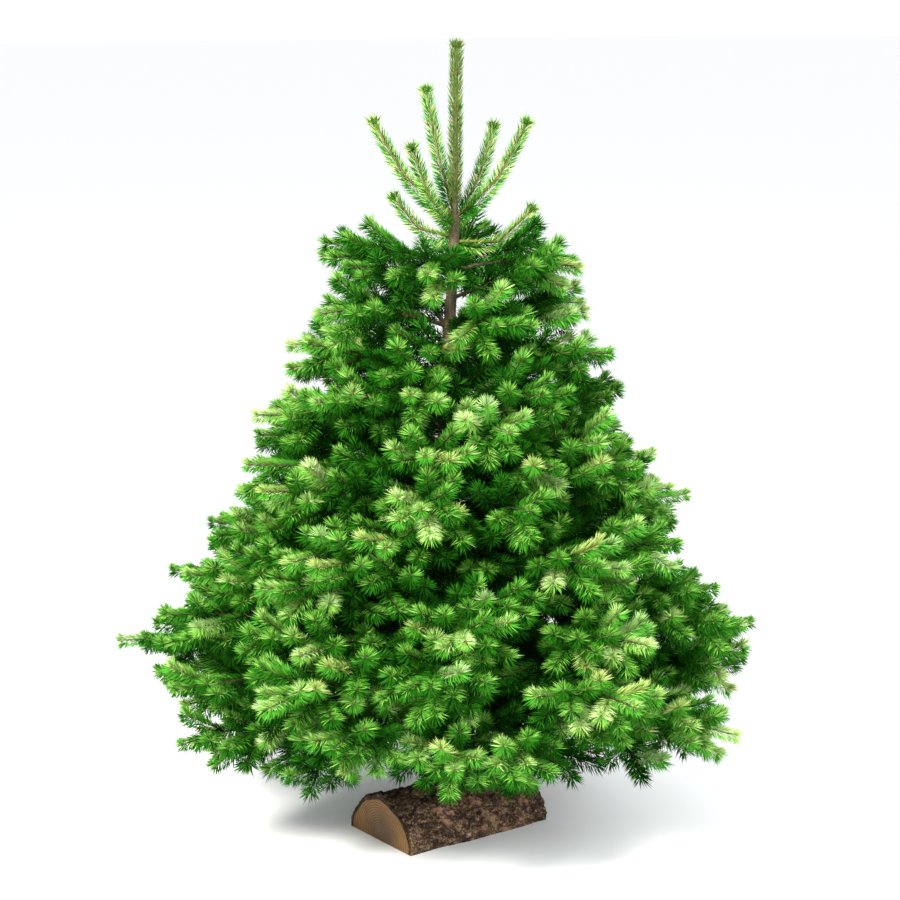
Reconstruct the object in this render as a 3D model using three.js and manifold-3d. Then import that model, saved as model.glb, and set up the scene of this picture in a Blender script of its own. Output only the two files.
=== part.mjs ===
// A cut fir, sold as a Christmas tree, standing in a half log of spruce.
//
// Units are millimetres and +Z is up. The origin is the middle of the log's sawn underside, which
// stands on the floor. +X runs along the log, and the trunk rises over the origin.
//
// The tree is built as it grows. The trunk carries tiers of boughs. Each bough is a stem that ends in
// a frond: a year's growth at a time, with a pair of side shoots at each year's end, and smaller
// pairs on the long side shoots. Every shoot is a slim core with rows of needles standing out of it.

import * as THREE from "three";
import { mergeVertices } from "three/addons/utils/BufferGeometryUtils.js";
import Module from "manifold-3d";

const wasm = await Module();
wasm.setup();
const { Manifold, Mesh } = wasm;

// ---------------------------------------------------------------- driving dimensions

const TREE_HEIGHT = 1150; // floor to the top of the leader
const CLEARANCE = 0.3; // between neighbouring pieces
const SLIVER = 0.6; // detail smaller than this is smoothed off the fronds
const BURR = 0.04; // and this off a cut's edge
const CROWN_TURN = -36; // degrees from the log's length to the crown's own first direction
const FRONT_TURN = -90; // degrees from there to its front, where the lowest boughs are bent up

const LOG = { length: 250, halfWidth: 77, height: 67, bark: 8, arcPoints: 13, rings: 6 };

const TRUNK = {
  foot: 18, // the flat cut at the bottom of the log's bore
  footRadius: 20,
  flare: 3, // how much the foot widens over the rest
  leaderHeight: 905, // where the last whorl leaves and the leader begins
  leaderFootRadius: 6.4,
  leaderRadius: 4.2,
  tipRadius: 2.8,
  sides: 9,
  rings: 14,
};

// From the lowest tier up: the node's height on the trunk, the boughs round it, the first bough's
// direction in degrees, how far the tips reach, how far they rise above the node, the slope in degrees
// at which they leave the trunk, and how many degrees their side shoots hang down.
const TIERS = [
  { name: "skirt", height: 176, boughs: 6, turn: -28, reach: 438, rise: 4, sweep: 18, droop: 8, bare: 0.26,
    frontLift: 36, frontShrink: 0.12 },
  { name: "lower", height: 240, boughs: 6, turn: 2, reach: 462, rise: 56, sweep: 14, droop: 5, jointed: true },
  { name: "third", height: 326, boughs: 5, turn: -18, reach: 392, rise: 72, sweep: 12, droop: 2, bare: 0.24 },
  { name: "fourth", height: 412, boughs: 5, turn: 12, reach: 344, rise: 68, sweep: 14, droop: 0, bare: 0.22 },
  { name: "fifth", height: 498, boughs: 5, turn: -24, reach: 300, rise: 66, sweep: 16, droop: 0, bare: 0.2 },
  { name: "sixth", height: 582, boughs: 4, turn: 20, reach: 272, rise: 54, sweep: 18, droop: 0 },
  { name: "seventh", height: 664, boughs: 4, turn: -22, reach: 232, rise: 52, sweep: 20, droop: 0 },
  { name: "eighth", height: 746, boughs: 4, turn: 24, reach: 206, rise: 34, sweep: 22, droop: 0 },
  { name: "ninth", height: 830, boughs: 4, turn: -16, reach: 184, rise: 6, sweep: 24, droop: 0 },
];
const BOUGH_SHARE = 0.34; // of a jointed bough, bare wood before its frond begins
const BARE_SHARE = 0.18; // of any other bough, bare wood before its first side shoots

// The shoots round the foot of the leader, five upright and two short ones under them: height on the
// trunk, direction, reach and rise.
const CANDLES = [
  { height: 900, turn: -15, reach: 104, rise: 136 },
  { height: 894, turn: 52, reach: 92, rise: 132 },
  { height: 902, turn: 128, reach: 66, rise: 176 },
  { height: 904, turn: 178, reach: 114, rise: 132 },
  { height: 888, turn: 232, reach: 96, rise: 116 },
  { height: 868, turn: 8, reach: 112, rise: 44 },
  { height: 874, turn: 166, reach: 88, rise: 54 },
];
const CANDLE_SWEEP = -58; // they leave the trunk low and turn up

const SHOOT = {
  year: 60, // length of one year's growth
  fork: 50, // degrees between a stem and its side shoots
  tilt: 30, // degrees that side shoots point up on one side and down on the other, by turns
  hang: 30, // degrees that one hangs down at most
  share: 0.7, // of the way left to the stem's tip that a side shoot is long
  longest: 165,
  branchesOver: 70, // side shoots over this length carry a pair of their own
  shortest: 34,
  core: 4, // radius of a shoot's core at its foot
  girth: 38, // radius to the needles' tips
  rowPitch: 60,
  neck: 18, // clear of needles at a side shoot's foot
  room: 2, // kept between the shoots of neighbouring fronds
};

// ---------------------------------------------------------------- small helpers

const radians = THREE.MathUtils.degToRad;
const UP = new THREE.Vector3(0, 0, 1);

/** A repeatable stream of numbers from 0 to 1. */
function seeded(seed) {
  let state = seed >>> 0;
  return () => {
    state = (state + 0x6d2b79f5) >>> 0;
    let t = Math.imul(state ^ (state >>> 15), state | 1);
    t = (t + Math.imul(t ^ (t >>> 7), t | 61)) ^ t;
    return ((t ^ (t >>> 14)) >>> 0) / 4294967296;
  };
}

/** A number from -most to most. */
const spread = (draw, most) => (2 * draw() - 1) * most;

/** The closed solid of a geometry, with its doubled vertices merged and its collapsed faces dropped. */
function solidOf(geometry) {
  const bare = geometry.clone();
  bare.deleteAttribute("normal");
  bare.deleteAttribute("uv");
  const merged = mergeVertices(bare, 1e-3);
  const corners = merged.index.array;
  const kept = [];
  for (let i = 0; i < corners.length; i += 3) {
    const [a, b, c] = [corners[i], corners[i + 1], corners[i + 2]];
    if (a !== b && b !== c && c !== a) kept.push(a, b, c);
  }
  return new Manifold(
    new Mesh({
      numProp: 3,
      vertProperties: merged.attributes.position.array,
      triVerts: new Uint32Array(kept),
    }),
  );
}

/** The largest piece of a solid, without the loose scraps and burrs that a cut leaves. */
function largestPiece(solid) {
  const pieces = solid.simplify(BURR).decompose();
  return pieces.reduce((best, piece) => (piece.volume() > best.volume() ? piece : best));
}

/** A geometry from a solid. */
function geometryOf(solid) {
  const { numProp, numVert, vertProperties, triVerts } = solid.getMesh();
  const position = new Float32Array(numVert * 3);
  for (let i = 0; i < numVert; i++) {
    position.set(vertProperties.subarray(i * numProp, i * numProp + 3), i * 3);
  }
  const geometry = new THREE.BufferGeometry();
  geometry.setAttribute("position", new THREE.BufferAttribute(position, 3));
  geometry.setIndex(new THREE.BufferAttribute(new Uint32Array(triVerts), 1));
  const flat = geometry.toNonIndexed();
  flat.computeVertexNormals();
  return flat;
}

/** A tapering limb: a cylinder bent along a curve, with radiusAt(share of the way) and flat ends. */
function limb(curve, radiusAt, sides, rings) {
  const geometry = new THREE.CylinderGeometry(1, 1, 1, sides, rings);
  const place = geometry.attributes.position;
  const tangent = new THREE.Vector3();
  for (let i = 0; i < place.count; i++) {
    const share = place.getY(i) + 0.5;
    curve.getTangentAt(share, tangent);
    const turn = new THREE.Quaternion().setFromUnitVectors(UP, tangent);
    const radius = radiusAt(share);
    const point = new THREE.Vector3(place.getX(i) * radius, -place.getZ(i) * radius, 0);
    point.applyQuaternion(turn).add(curve.getPointAt(share));
    place.setXYZ(i, point.x, point.y, point.z);
  }
  return geometry;
}

/** The part of a curve between two shares of its length. */
function stretch(curve, from, to) {
  const pieces = 8;
  const points = [];
  for (let i = 0; i <= pieces; i++) {
    points.push(curve.getPointAt(from + ((to - from) * i) / pieces));
  }
  return new THREE.CatmullRomCurve3(points);
}

/** The least distance between two straight stretches, each {start, end}. */
function distanceBetween(one, other) {
  const p = one.end.clone().sub(one.start);
  const q = other.end.clone().sub(other.start);
  const r = one.start.clone().sub(other.start);
  const [a, b, c, d, e] = [p.dot(p), p.dot(q), q.dot(q), p.dot(r), q.dot(r)];
  const flat = a * c - b * b;
  const clamp = (x) => Math.min(1, Math.max(0, x));
  let s = flat > 1e-9 ? clamp((b * e - c * d) / flat) : 0;
  const t = clamp((b * s + e) / c);
  s = clamp((b * t - d) / a);
  return one.start.clone().addScaledVector(p, s).distanceTo(other.start.clone().addScaledVector(q, t));
}

// ---------------------------------------------------------------- the trunk

/** The middle of the trunk at a height: it bows a little one way and its leader leans the other. */
function trunkCentre(height) {
  const share = height / TREE_HEIGHT;
  const sideways = 9 * THREE.MathUtils.smoothstep(share, 0.565, 0.783) - 4 * Math.sin(Math.PI * share);
  const lean = radians(CROWN_TURN);
  return new THREE.Vector3(sideways * Math.cos(lean), sideways * Math.sin(lean), height);
}

/** The trunk's radius at a height: an even taper with a flared foot, and a slim leader on top. */
function trunkRadius(height) {
  const { foot, footRadius, flare, leaderHeight, leaderFootRadius, leaderRadius, tipRadius } = TRUNK;
  if (height > leaderHeight) {
    const share = (height - leaderHeight) / (TREE_HEIGHT - leaderHeight);
    return THREE.MathUtils.lerp(leaderRadius, tipRadius, share);
  }
  const share = (height - foot) / (leaderHeight - foot);
  const body = THREE.MathUtils.lerp(footRadius - flare, leaderFootRadius, share);
  return body + flare * Math.exp(-(height - foot) / 70);
}

/** The trunk's middle line from its foot to the top of the leader. */
function trunkLine(top = TREE_HEIGHT) {
  const steps = 24;
  const points = [];
  for (let i = 0; i <= steps; i++) {
    points.push(trunkCentre(THREE.MathUtils.lerp(TRUNK.foot, top, i / steps)));
  }
  return new THREE.CatmullRomCurve3(points);
}

/** The trunk, or with a growth the space that its neighbours are cut back from. */
function trunkSolid(growth = 0) {
  const line = trunkLine();
  const radiusAt = (share) => trunkRadius(line.getPointAt(share).z) + growth;
  const body = solidOf(limb(line, radiusAt, TRUNK.sides, TRUNK.rings));
  return growth ? body.add(body.translate([0, 0, -growth])) : body;
}

/** The buds at the top of the leader: one upright, and a ring of small ones leaning out round it. */
function leaderBuds() {
  const top = trunkCentre(TREE_HEIGHT);
  const bud = (length, lean, turn) => {
    const cone = new THREE.ConeGeometry(3.2, length, 4).translate(0, length / 2, 0);
    cone.rotateX(Math.PI / 2).rotateY(radians(lean)).rotateZ(radians(turn));
    return solidOf(cone.translate(top.x, top.y, top.z - 12));
  };
  return [bud(12, 0, 0), ...[20, 140, 260].map((turn) => bud(14, 52, turn))];
}

// ---------------------------------------------------------------- the half log

/** How much the log swells or narrows along its length. */
const logSwell = (x) => 1 + 0.022 * Math.sin(x / 33 + 1) - 0.012 * Math.sin(x / 15);

/** The half log's arch, from its right foot over the top to its left, a depth under the bark. */
function logArch(depth) {
  const points = [];
  for (let i = 0; i <= LOG.arcPoints; i++) {
    const angle = (Math.PI * i) / LOG.arcPoints;
    const lump = 1 + 0.018 * Math.sin(5 * angle + 0.8) + 0.012 * Math.sin(9 * angle);
    const width = (LOG.halfWidth - depth) * lump * Math.cos(angle);
    const height = (LOG.height - depth) * lump * Math.sin(angle);
    points.push(new THREE.Vector2(width, Math.max(height, 0)));
  }
  return points;
}

/** A piece of the log: its section drawn across +Y and +Z, sawn square at both ends along X. */
function logPiece(outline) {
  const geometry = new THREE.ExtrudeGeometry(new THREE.Shape(outline), {
    depth: LOG.length,
    steps: LOG.rings,
    bevelEnabled: false,
  });
  const place = geometry.attributes.position;
  for (let i = 0; i < place.count; i++) {
    const x = place.getZ(i) - LOG.length / 2;
    const swell = logSwell(x);
    place.setXYZ(i, x, place.getX(i) * swell, place.getY(i) * swell);
  }
  return solidOf(geometry);
}

/** The log's wood and its bark, both bored for the trunk's foot. */
function logSolids(seat) {
  const wood = logPiece(logArch(LOG.bark + CLEARANCE));
  const bark = logPiece([...logArch(0), ...logArch(LOG.bark).reverse()]);
  return { wood: largestPiece(wood.subtract(seat)), bark: largestPiece(bark.subtract(seat)) };
}

// ---------------------------------------------------------------- boughs and their shoots

/** Where a bough runs: out from the trunk's middle, up at first and levelling towards its tip. */
function boughLine(height, turn, reach, rise, sweep) {
  const root = trunkCentre(height);
  const out = new THREE.Vector3(Math.cos(radians(turn)), Math.sin(radians(turn)), 0);
  const half = reach * 0.5;
  const knee = root.clone().addScaledVector(out, half);
  knee.z += half * Math.tan(radians(sweep)) * 0.6 + rise * 0.5;
  const tip = root.clone().addScaledVector(out, reach);
  tip.z += rise;
  return new THREE.QuadraticBezierCurve3(root, knee, tip);
}

/** Every bough of the crown, from the lowest tier up, with what makes it differ from its neighbours. */
function planBoughs() {
  const boughs = [];
  TIERS.forEach((tier, row) => {
    for (let i = 0; i < tier.boughs; i++) {
      const draw = seeded(1000 * (row + 1) + i);
      const turn = CROWN_TURN + tier.turn + (360 * i) / tier.boughs + spread(draw, 6);
      const front = Math.max(0, Math.cos(radians(turn - CROWN_TURN - FRONT_TURN))) ** 2;
      const reach = tier.reach * (1 + spread(draw, 0.035)) * (1 - (tier.frontShrink ?? 0) * front);
      const rise = tier.rise + spread(draw, 12) + (tier.frontLift ?? 0) * front;
      const line = boughLine(tier.height + spread(draw, 7), turn, reach, rise, tier.sweep);
      boughs.push({
        name: `${tier.name}_${i + 1}`,
        jointed: tier.jointed,
        droop: tier.droop,
        line,
        length: line.getLength(),
        bare: tier.jointed ? BOUGH_SHARE : tier.bare ?? BARE_SHARE,
        radius: 1.5 + line.getLength() * 0.0105,
        draw,
      });
    }
  });
  return boughs;
}

/** A straight shoot from a place on a stem. Its frame is the stem's direction and the way up. */
function sideShoot(start, along, side, angle, pitch, length) {
  const across = new THREE.Vector3().crossVectors(UP, along).normalize().multiplyScalar(side);
  const direction = along
    .clone()
    .multiplyScalar(Math.cos(radians(angle)))
    .addScaledVector(across, Math.sin(radians(angle)))
    .addScaledVector(UP, Math.sin(radians(pitch)))
    .normalize();
  return { start, end: start.clone().addScaledVector(direction, length), direction };
}

/** The shoots of one bough by order of growth: its leader, then side shoots, then their own pairs. */
function growShoots(bough) {
  const { line, length, bare, draw } = bough;
  const leafy = length * (1 - bare) - SHOOT.neck;
  const years = Math.max(1, Math.round(leafy / SHOOT.year));
  const year = leafy / years;
  const leader = { curve: stretch(line, bare, 1), length: length * (1 - bare), neck: 8 };
  const sides = [];
  const smaller = [];
  for (let back = years; back >= 1; back--) {
    const share = 1 - (back * year) / length;
    const start = line.getPointAt(share);
    const along = line.getTangentAt(share);
    for (const side of [-1, 1]) {
      const angle = SHOOT.fork + spread(draw, 5);
      const swing = (back % 2 ? side : -side) * SHOOT.tilt * (0.4 + draw());
      const pitch = Math.max(swing - bough.droop, -SHOOT.hang);
      const wanted = Math.min(back * year * SHOOT.share * (1 + spread(draw, 0.12)), SHOOT.longest);
      const shoot = sideShoot(start, along, side, angle, pitch, wanted);
      sides.push(shoot);
      for (const own of [-1, 1]) {
        const foot = shoot.start.clone().lerp(shoot.end, 0.5);
        const length = wanted * 0.38 * (1 + spread(draw, 0.1));
        const small = sideShoot(foot, shoot.direction, own, SHOOT.fork, spread(draw, 9), length);
        if (wanted > SHOOT.branchesOver) smaller.push({ ...small, parent: shoot });
      }
    }
  }
  return { leader, sides, smaller };
}

/** A shoot in needles: a three-sided core with rows of points that stand out and forwards. */
function needleSpray({ curve, length, neck = SHOOT.neck }, girth, core = SHOOT.core, sides = 3) {
  const rows = Math.max(1, Math.round((length - neck) / SHOOT.rowPitch));
  const along = (row) => (neck + ((length - neck) * row) / rows) / length;
  const profile = [new THREE.Vector2(0, 0), new THREE.Vector2(core, neck / length)];
  for (let row = 1; row <= rows; row++) {
    const radius = girth * (1 - 0.2 * (row / rows) ** 2);
    if (row < rows) {
      profile.push(new THREE.Vector2(radius, along(row - 0.02)));
      profile.push(new THREE.Vector2(core * 0.9, along(row - 0.16)));
    } else {
      profile.push(new THREE.Vector2(radius * 0.85, along(row - 0.3)));
    }
  }
  profile.push(new THREE.Vector2(0, 1));
  const geometry = new THREE.LatheGeometry(profile, sides);
  const place = geometry.attributes.position;
  for (let i = 0; i < place.count; i++) {
    // Every second row is turned half a step, so that its points stand between those behind.
    const row = Math.floor(((i % profile.length) - 1) / 2);
    const share = place.getY(i);
    const point = new THREE.Vector3(place.getX(i), place.getZ(i), 0);
    point.applyAxisAngle(UP, (row % 2) * (Math.PI / sides));
    point.applyQuaternion(new THREE.Quaternion().setFromUnitVectors(UP, curve.getTangentAt(share)));
    point.add(curve.getPointAt(share));
    place.setXYZ(i, point.x, point.y, point.z);
  }
  const solid = solidOf(geometry);
  return solid.volume() < 0 ? solidOf(insideOut(geometry)) : solid;
}

/** The same geometry with its faces turned round. */
function insideOut(geometry) {
  const turned = geometry.clone();
  turned.index.array.reverse();
  return turned;
}

/** A straight shoot's own curve and length, as its leader has. */
const straight = ({ start, end }) => ({
  curve: new THREE.LineCurve3(start, end),
  length: start.distanceTo(end),
});

/** The bare stem of a frond, from a share of its bough's line into the foot of its leader. */
function stemSolid(bough, from) {
  const line = stretch(bough.line, from, bough.bare + 16 / bough.length);
  const foot = bough.radius * (1 - from * 0.6);
  return solidOf(limb(line, (share) => THREE.MathUtils.lerp(foot, 2.6, share), 5, 2));
}

/** The shoots that fit: those of one frond keep clear of every other frond's and of bare limbs. */
function shootsWithRoom(boughs) {
  const taken = [];
  const take = (start, end, owner, radius) => taken.push({ start, end, owner, radius });
  const fits = (shoot, owner) =>
    taken.every(
      (other) =>
        other.owner === owner ||
        distanceBetween(shoot, other) > SHOOT.girth + other.radius + SHOOT.room,
    );
  const grown = boughs.map(growShoots);
  boughs.forEach(({ line, bare, radius }, owner) => {
    const steps = 8;
    for (let i = 0; i < steps; i++) {
      const [from, to] = [i / steps, (i + 1) / steps];
      const leafy = (from + to) / 2 > bare;
      take(line.getPointAt(from), line.getPointAt(to), owner, leafy ? SHOOT.girth : radius);
    }
  });
  const kept = grown.map(({ leader }) => [leader]);
  for (const order of ["sides", "smaller"]) {
    grown.forEach((bough, owner) => {
      for (const shoot of bough[order]) {
        const rootLeft = shoot.parent ? (shoot.parent.share ?? 0) >= 0.75 : true;
        for (const share of rootLeft ? [1, 0.75, 0.5] : []) {
          const tried = { start: shoot.start, end: shoot.start.clone().lerp(shoot.end, share) };
          if (tried.start.distanceTo(tried.end) < SHOOT.shortest) break;
          if (!fits(tried, owner)) continue;
          take(tried.start, tried.end, owner, SHOOT.girth);
          shoot.share = share;
          kept[owner].push(straight(tried));
          break;
        }
      }
    });
  }
  return kept;
}

// ---------------------------------------------------------------- colours

const finish = (color, roughness) => new THREE.MeshStandardMaterial({ color, roughness, metalness: 0 });
const MATERIALS = {
  logWood: finish(0x9a6f3c, 0.8),
  logBark: finish(0x4b3a2c, 0.95),
  trunkBark: finish(0x6f6045, 0.9),
  boughBark: finish(0x6a5233, 0.9),
  needles: finish(0x2f7a1f, 0.55),
  freshNeedles: finish(0x6fa53c, 0.5),
};

// ---------------------------------------------------------------- the whole tree

const tree = new THREE.Group();

/** Adds a solid to the tree as a named mesh. */
function addPiece(name, solid, material) {
  const mesh = new THREE.Mesh(geometryOf(solid), material);
  mesh.name = name;
  tree.add(mesh);
}

const trunk = Manifold.union([trunkSolid(), ...leaderBuds()]);
const trunkSpace = trunkSolid(CLEARANCE);
addPiece("trunk", trunk, MATERIALS.trunkBark);

const log = logSolids(trunkSpace);
addPiece("log_wood", log.wood, MATERIALS.logWood);
addPiece("log_bark", log.bark, MATERIALS.logBark);

const boughs = planBoughs();
const shoots = shootsWithRoom(boughs);
boughs.forEach((bough, i) => {
  const gap = CLEARANCE / bough.length;
  if (bough.jointed) {
    const wood = stretch(bough.line, 0, BOUGH_SHARE);
    const tipRadius = bough.radius * (1 - BOUGH_SHARE * 0.6);
    const solid = solidOf(limb(wood, (share) => THREE.MathUtils.lerp(bough.radius, tipRadius, share), 6, 4));
    addPiece(`bough_${bough.name}`, largestPiece(solid.subtract(trunkSpace)), MATERIALS.boughBark);
  }
  const stem = stemSolid(bough, bough.jointed ? BOUGH_SHARE + gap : 0);
  const sprays = shoots[i].map((shoot) => needleSpray(shoot, SHOOT.girth));
  const frond = Manifold.union([stem, ...sprays]).simplify(SLIVER).subtract(trunkSpace);
  addPiece(`frond_${bough.name}`, largestPiece(frond), MATERIALS.needles);
});

CANDLES.forEach(({ height, turn, reach, rise }, i) => {
  const line = boughLine(height, CROWN_TURN + turn, reach, rise, CANDLE_SWEEP);
  const stem = solidOf(limb(stretch(line, 0, 0.36), () => 2, 5, 2));
  const spray = needleSpray({ curve: stretch(line, 0.26, 1), length: 120, neck: 6 }, 13, 3.4);
  const candle = stem.add(spray).simplify(SLIVER).subtract(trunkSpace);
  addPiece(`candle_${i + 1}`, largestPiece(candle), MATERIALS.freshNeedles);
});

const leaderFoot = trunkCentre(TRUNK.leaderHeight + 62);
const leaderTop = trunkCentre(TREE_HEIGHT - 16);
const leaderShoot = { ...straight({ start: leaderFoot, end: leaderTop }), neck: 10 };
const leaderSleeve = needleSpray(leaderShoot, 12, 6.4, 5);
addPiece("leader_needles", largestPiece(leaderSleeve.subtract(trunkSpace)), MATERIALS.freshNeedles);

export default tree;
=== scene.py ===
"""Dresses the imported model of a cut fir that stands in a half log.

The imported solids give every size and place. The growth rule that shaped them is written again here
and carried on to finer twigs, and every twig then gets its needles and buds. The rule works in
millimetres, as the solids' source does, and meshes are made in metres.
"""

from __future__ import annotations

import logging
import math
from collections.abc import Callable, Iterable
from dataclasses import dataclass, field
from enum import Enum

import bmesh
import bpy
import numpy as np
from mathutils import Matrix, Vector, noise

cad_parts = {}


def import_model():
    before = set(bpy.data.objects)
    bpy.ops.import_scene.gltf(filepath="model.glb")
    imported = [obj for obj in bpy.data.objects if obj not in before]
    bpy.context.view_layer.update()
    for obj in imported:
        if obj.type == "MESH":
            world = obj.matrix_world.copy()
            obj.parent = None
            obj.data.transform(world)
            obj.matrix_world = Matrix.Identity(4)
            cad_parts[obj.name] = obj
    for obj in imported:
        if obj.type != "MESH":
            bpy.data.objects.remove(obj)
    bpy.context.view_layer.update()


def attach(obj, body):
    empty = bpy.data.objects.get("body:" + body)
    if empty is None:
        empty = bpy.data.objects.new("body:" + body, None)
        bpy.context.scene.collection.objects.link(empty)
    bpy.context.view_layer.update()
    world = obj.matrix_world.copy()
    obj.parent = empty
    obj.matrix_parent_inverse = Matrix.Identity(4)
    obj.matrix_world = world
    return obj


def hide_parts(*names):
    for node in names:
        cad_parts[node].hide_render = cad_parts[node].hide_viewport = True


LOG = logging.getLogger("fir")
MM = 0.001
UP = np.array([0.0, 0.0, 1.0])
ALONG = np.array([1.0, 0.0, 0.0])
GOLDEN_ANGLE = math.pi * (3 - math.sqrt(5))
MOST_TRIANGLES = 190_000


# ---------------------------------------------------------------- chance and lines


class SeededDraw:
    """A repeatable stream of numbers, the same one that the solids were grown with."""

    WORD = 0xFFFFFFFF
    STEP = 0x6D2B79F5

    def __init__(self, seed: int) -> None:
        """Starts the stream at a seed."""
        self.state = seed & self.WORD

    def __call__(self) -> float:
        """The next number from 0 to 1."""
        self.state = (self.state + self.STEP) & self.WORD
        t = (self.state ^ (self.state >> 15)) * (self.state | 1) & self.WORD
        t ^= (t + (t ^ (t >> 7)) * (t | 61)) & self.WORD
        return (t ^ (t >> 14)) / (self.WORD + 1)

    def spread(self, most: float) -> float:
        """A number from -most to most."""
        return (2 * self() - 1) * most


def unit(vectors: np.ndarray) -> np.ndarray:
    """The same vectors, each one long."""
    return vectors / np.linalg.norm(vectors, axis=-1, keepdims=True)


def mix(low: float, high: float, share: float) -> float:
    """The number a share of the way from low to high."""
    return low + (high - low) * share


def reference_for(heading: np.ndarray, steep: float = 0.9) -> np.ndarray:
    """Up, or along the log for a heading that is steeper than a limit."""
    return UP if abs(heading[2]) < steep else ALONG


def sides_of(heads: np.ndarray, reference: np.ndarray) -> tuple[np.ndarray, np.ndarray]:
    """The two ways at right angles to a heading, or to each of several.

    Args:
        heads: the headings, each one long.
        reference: the direction that the first way comes nearest to.

    Returns:
        The way over the heading and the way beside it.
    """
    over = unit(reference - heads * (heads @ reference)[..., None])
    return over, np.cross(heads, over)


class Line:
    """A bent line through points, measured by its own length."""

    def __init__(self, points: np.ndarray) -> None:
        """Takes the points in order, in millimetres."""
        self.points = np.asarray(points, float)
        steps = np.linalg.norm(np.diff(self.points, axis=0), axis=1)
        self.marks = np.concatenate([[0.0], np.cumsum(steps)])
        heads = unit(np.diff(self.points, axis=0))
        self.heads = unit(np.vstack([heads[:1], (heads[1:] + heads[:-1]) / 2, heads[-1:]]))

    @property
    def length(self) -> float:
        """The length along the line."""
        return float(self.marks[-1])

    def at(self, share: np.ndarray | float) -> np.ndarray:
        """The point or points at shares of the length."""
        mark = np.asarray(share) * self.length
        return np.stack([np.interp(mark, self.marks, self.points[:, i]) for i in range(3)], -1)

    def heading(self, share: np.ndarray | float) -> np.ndarray:
        """The direction or directions at shares of the length."""
        mark = np.asarray(share) * self.length
        return unit(np.stack([np.interp(mark, self.marks, self.heads[:, i]) for i in range(3)], -1))

    def stretch(self, start: float, end: float, steps: int = 8) -> Line:
        """The part of the line between two shares of its length."""
        return Line(self.at(np.linspace(start, end, steps + 1)))

    @staticmethod
    def bow(root: np.ndarray, knee: np.ndarray, tip: np.ndarray, steps: int = 200) -> Line:
        """A smooth bow from a root towards a knee and on to a tip."""
        t = np.linspace(0, 1, steps + 1)[:, None]
        return Line((1 - t) ** 2 * root + 2 * t * (1 - t) * knee + t * t * tip)


# ---------------------------------------------------------------- the tree's named sizes


@dataclass(frozen=True)
class TrunkForm:
    """The trunk: an even taper with a flared foot, and a slim leader on top.

    All sizes are in millimetres. The foot flares over flare_height. bend_from and bend_to are the
    shares of the height between which the middle moves sideways by offset, and bow is how far it
    bows the other way. turn is the crown's own first direction in degrees, and front is its front,
    from there.
    """

    height: float = 1150.0
    foot: float = 18.0
    foot_radius: float = 20.0
    flare: float = 3.0
    flare_height: float = 70.0
    leader_height: float = 905.0
    leader_foot_radius: float = 6.4
    leader_radius: float = 4.2
    tip_radius: float = 2.8
    bend_from: float = 0.565
    bend_to: float = 0.783
    offset: float = 9.0
    bow: float = 4.0
    turn: float = -36.0
    front: float = -90.0

    def centre(self, height: float) -> np.ndarray:
        """The trunk's middle at a height: it bows a little, and its leader leans the other way."""
        share = height / self.height
        bend = min(max((share - self.bend_from) / (self.bend_to - self.bend_from), 0.0), 1.0)
        sideways = self.offset * bend * bend * (3 - 2 * bend) - self.bow * math.sin(math.pi * share)
        lean = math.radians(self.turn)
        return np.array([sideways * math.cos(lean), sideways * math.sin(lean), height])

    def radius(self, height: float) -> float:
        """The trunk's radius at a height."""
        if height > self.leader_height:
            share = (height - self.leader_height) / (self.height - self.leader_height)
            return mix(self.leader_radius, self.tip_radius, share)
        share = (height - self.foot) / (self.leader_height - self.foot)
        body = mix(self.foot_radius - self.flare, self.leader_foot_radius, share)
        return body + self.flare * math.exp(-(height - self.foot) / self.flare_height)

    def line(self, low: float, high: float, steps: int) -> Line:
        """The trunk's middle line between two heights."""
        return Line(np.array([self.centre(h) for h in np.linspace(low, high, steps + 1)]))


@dataclass(frozen=True)
class Tier:
    """One tier of boughs.

    height is its node on the trunk, turn the first bough's direction in degrees, reach and rise
    where the tips are from the node, sweep the slope at which boughs leave, droop how many degrees
    their side shoots hang down, and bare the share of a bough before its side shoots. The boughs at
    the crown's front are bent up by front_lift and shorter by front_shrink.
    """

    name: str
    height: float
    boughs: int
    turn: float
    reach: float
    rise: float
    sweep: float
    droop: float
    bare: float = 0.18
    jointed: bool = False
    front_lift: float = 0
    front_shrink: float = 0


TIERS = (
    Tier("skirt", 176, 6, -28, 438, 4, 18, 8, bare=0.26, front_lift=36, front_shrink=0.12),
    Tier("lower", 240, 6, 2, 462, 56, 14, 5, bare=0.34, jointed=True),
    Tier("third", 326, 5, -18, 392, 72, 12, 2, bare=0.24),
    Tier("fourth", 412, 5, 12, 344, 68, 14, 0, bare=0.22),
    Tier("fifth", 498, 5, -24, 300, 66, 16, 0, bare=0.2),
    Tier("sixth", 582, 4, 20, 272, 54, 18, 0),
    Tier("seventh", 664, 4, -22, 232, 52, 20, 0),
    Tier("eighth", 746, 4, 24, 206, 34, 22, 0),
    Tier("ninth", 830, 4, -16, 184, 6, 24, 0),
)


@dataclass(frozen=True)
class Candle:
    """A shoot at the foot of the leader: its height on the trunk, direction, reach and rise."""

    height: float
    turn: float
    reach: float
    rise: float


CANDLES = (
    Candle(900, -15, 104, 136),
    Candle(894, 52, 92, 132),
    Candle(902, 128, 66, 176),
    Candle(904, 178, 114, 132),
    Candle(888, 232, 96, 116),
    Candle(868, 8, 112, 44),
    Candle(874, 166, 88, 54),
)
CANDLE_SWEEP = -58
TOP_NODES = [f"candle_{i + 1}" for i in range(len(CANDLES))] + ["leader_needles"]


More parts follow.
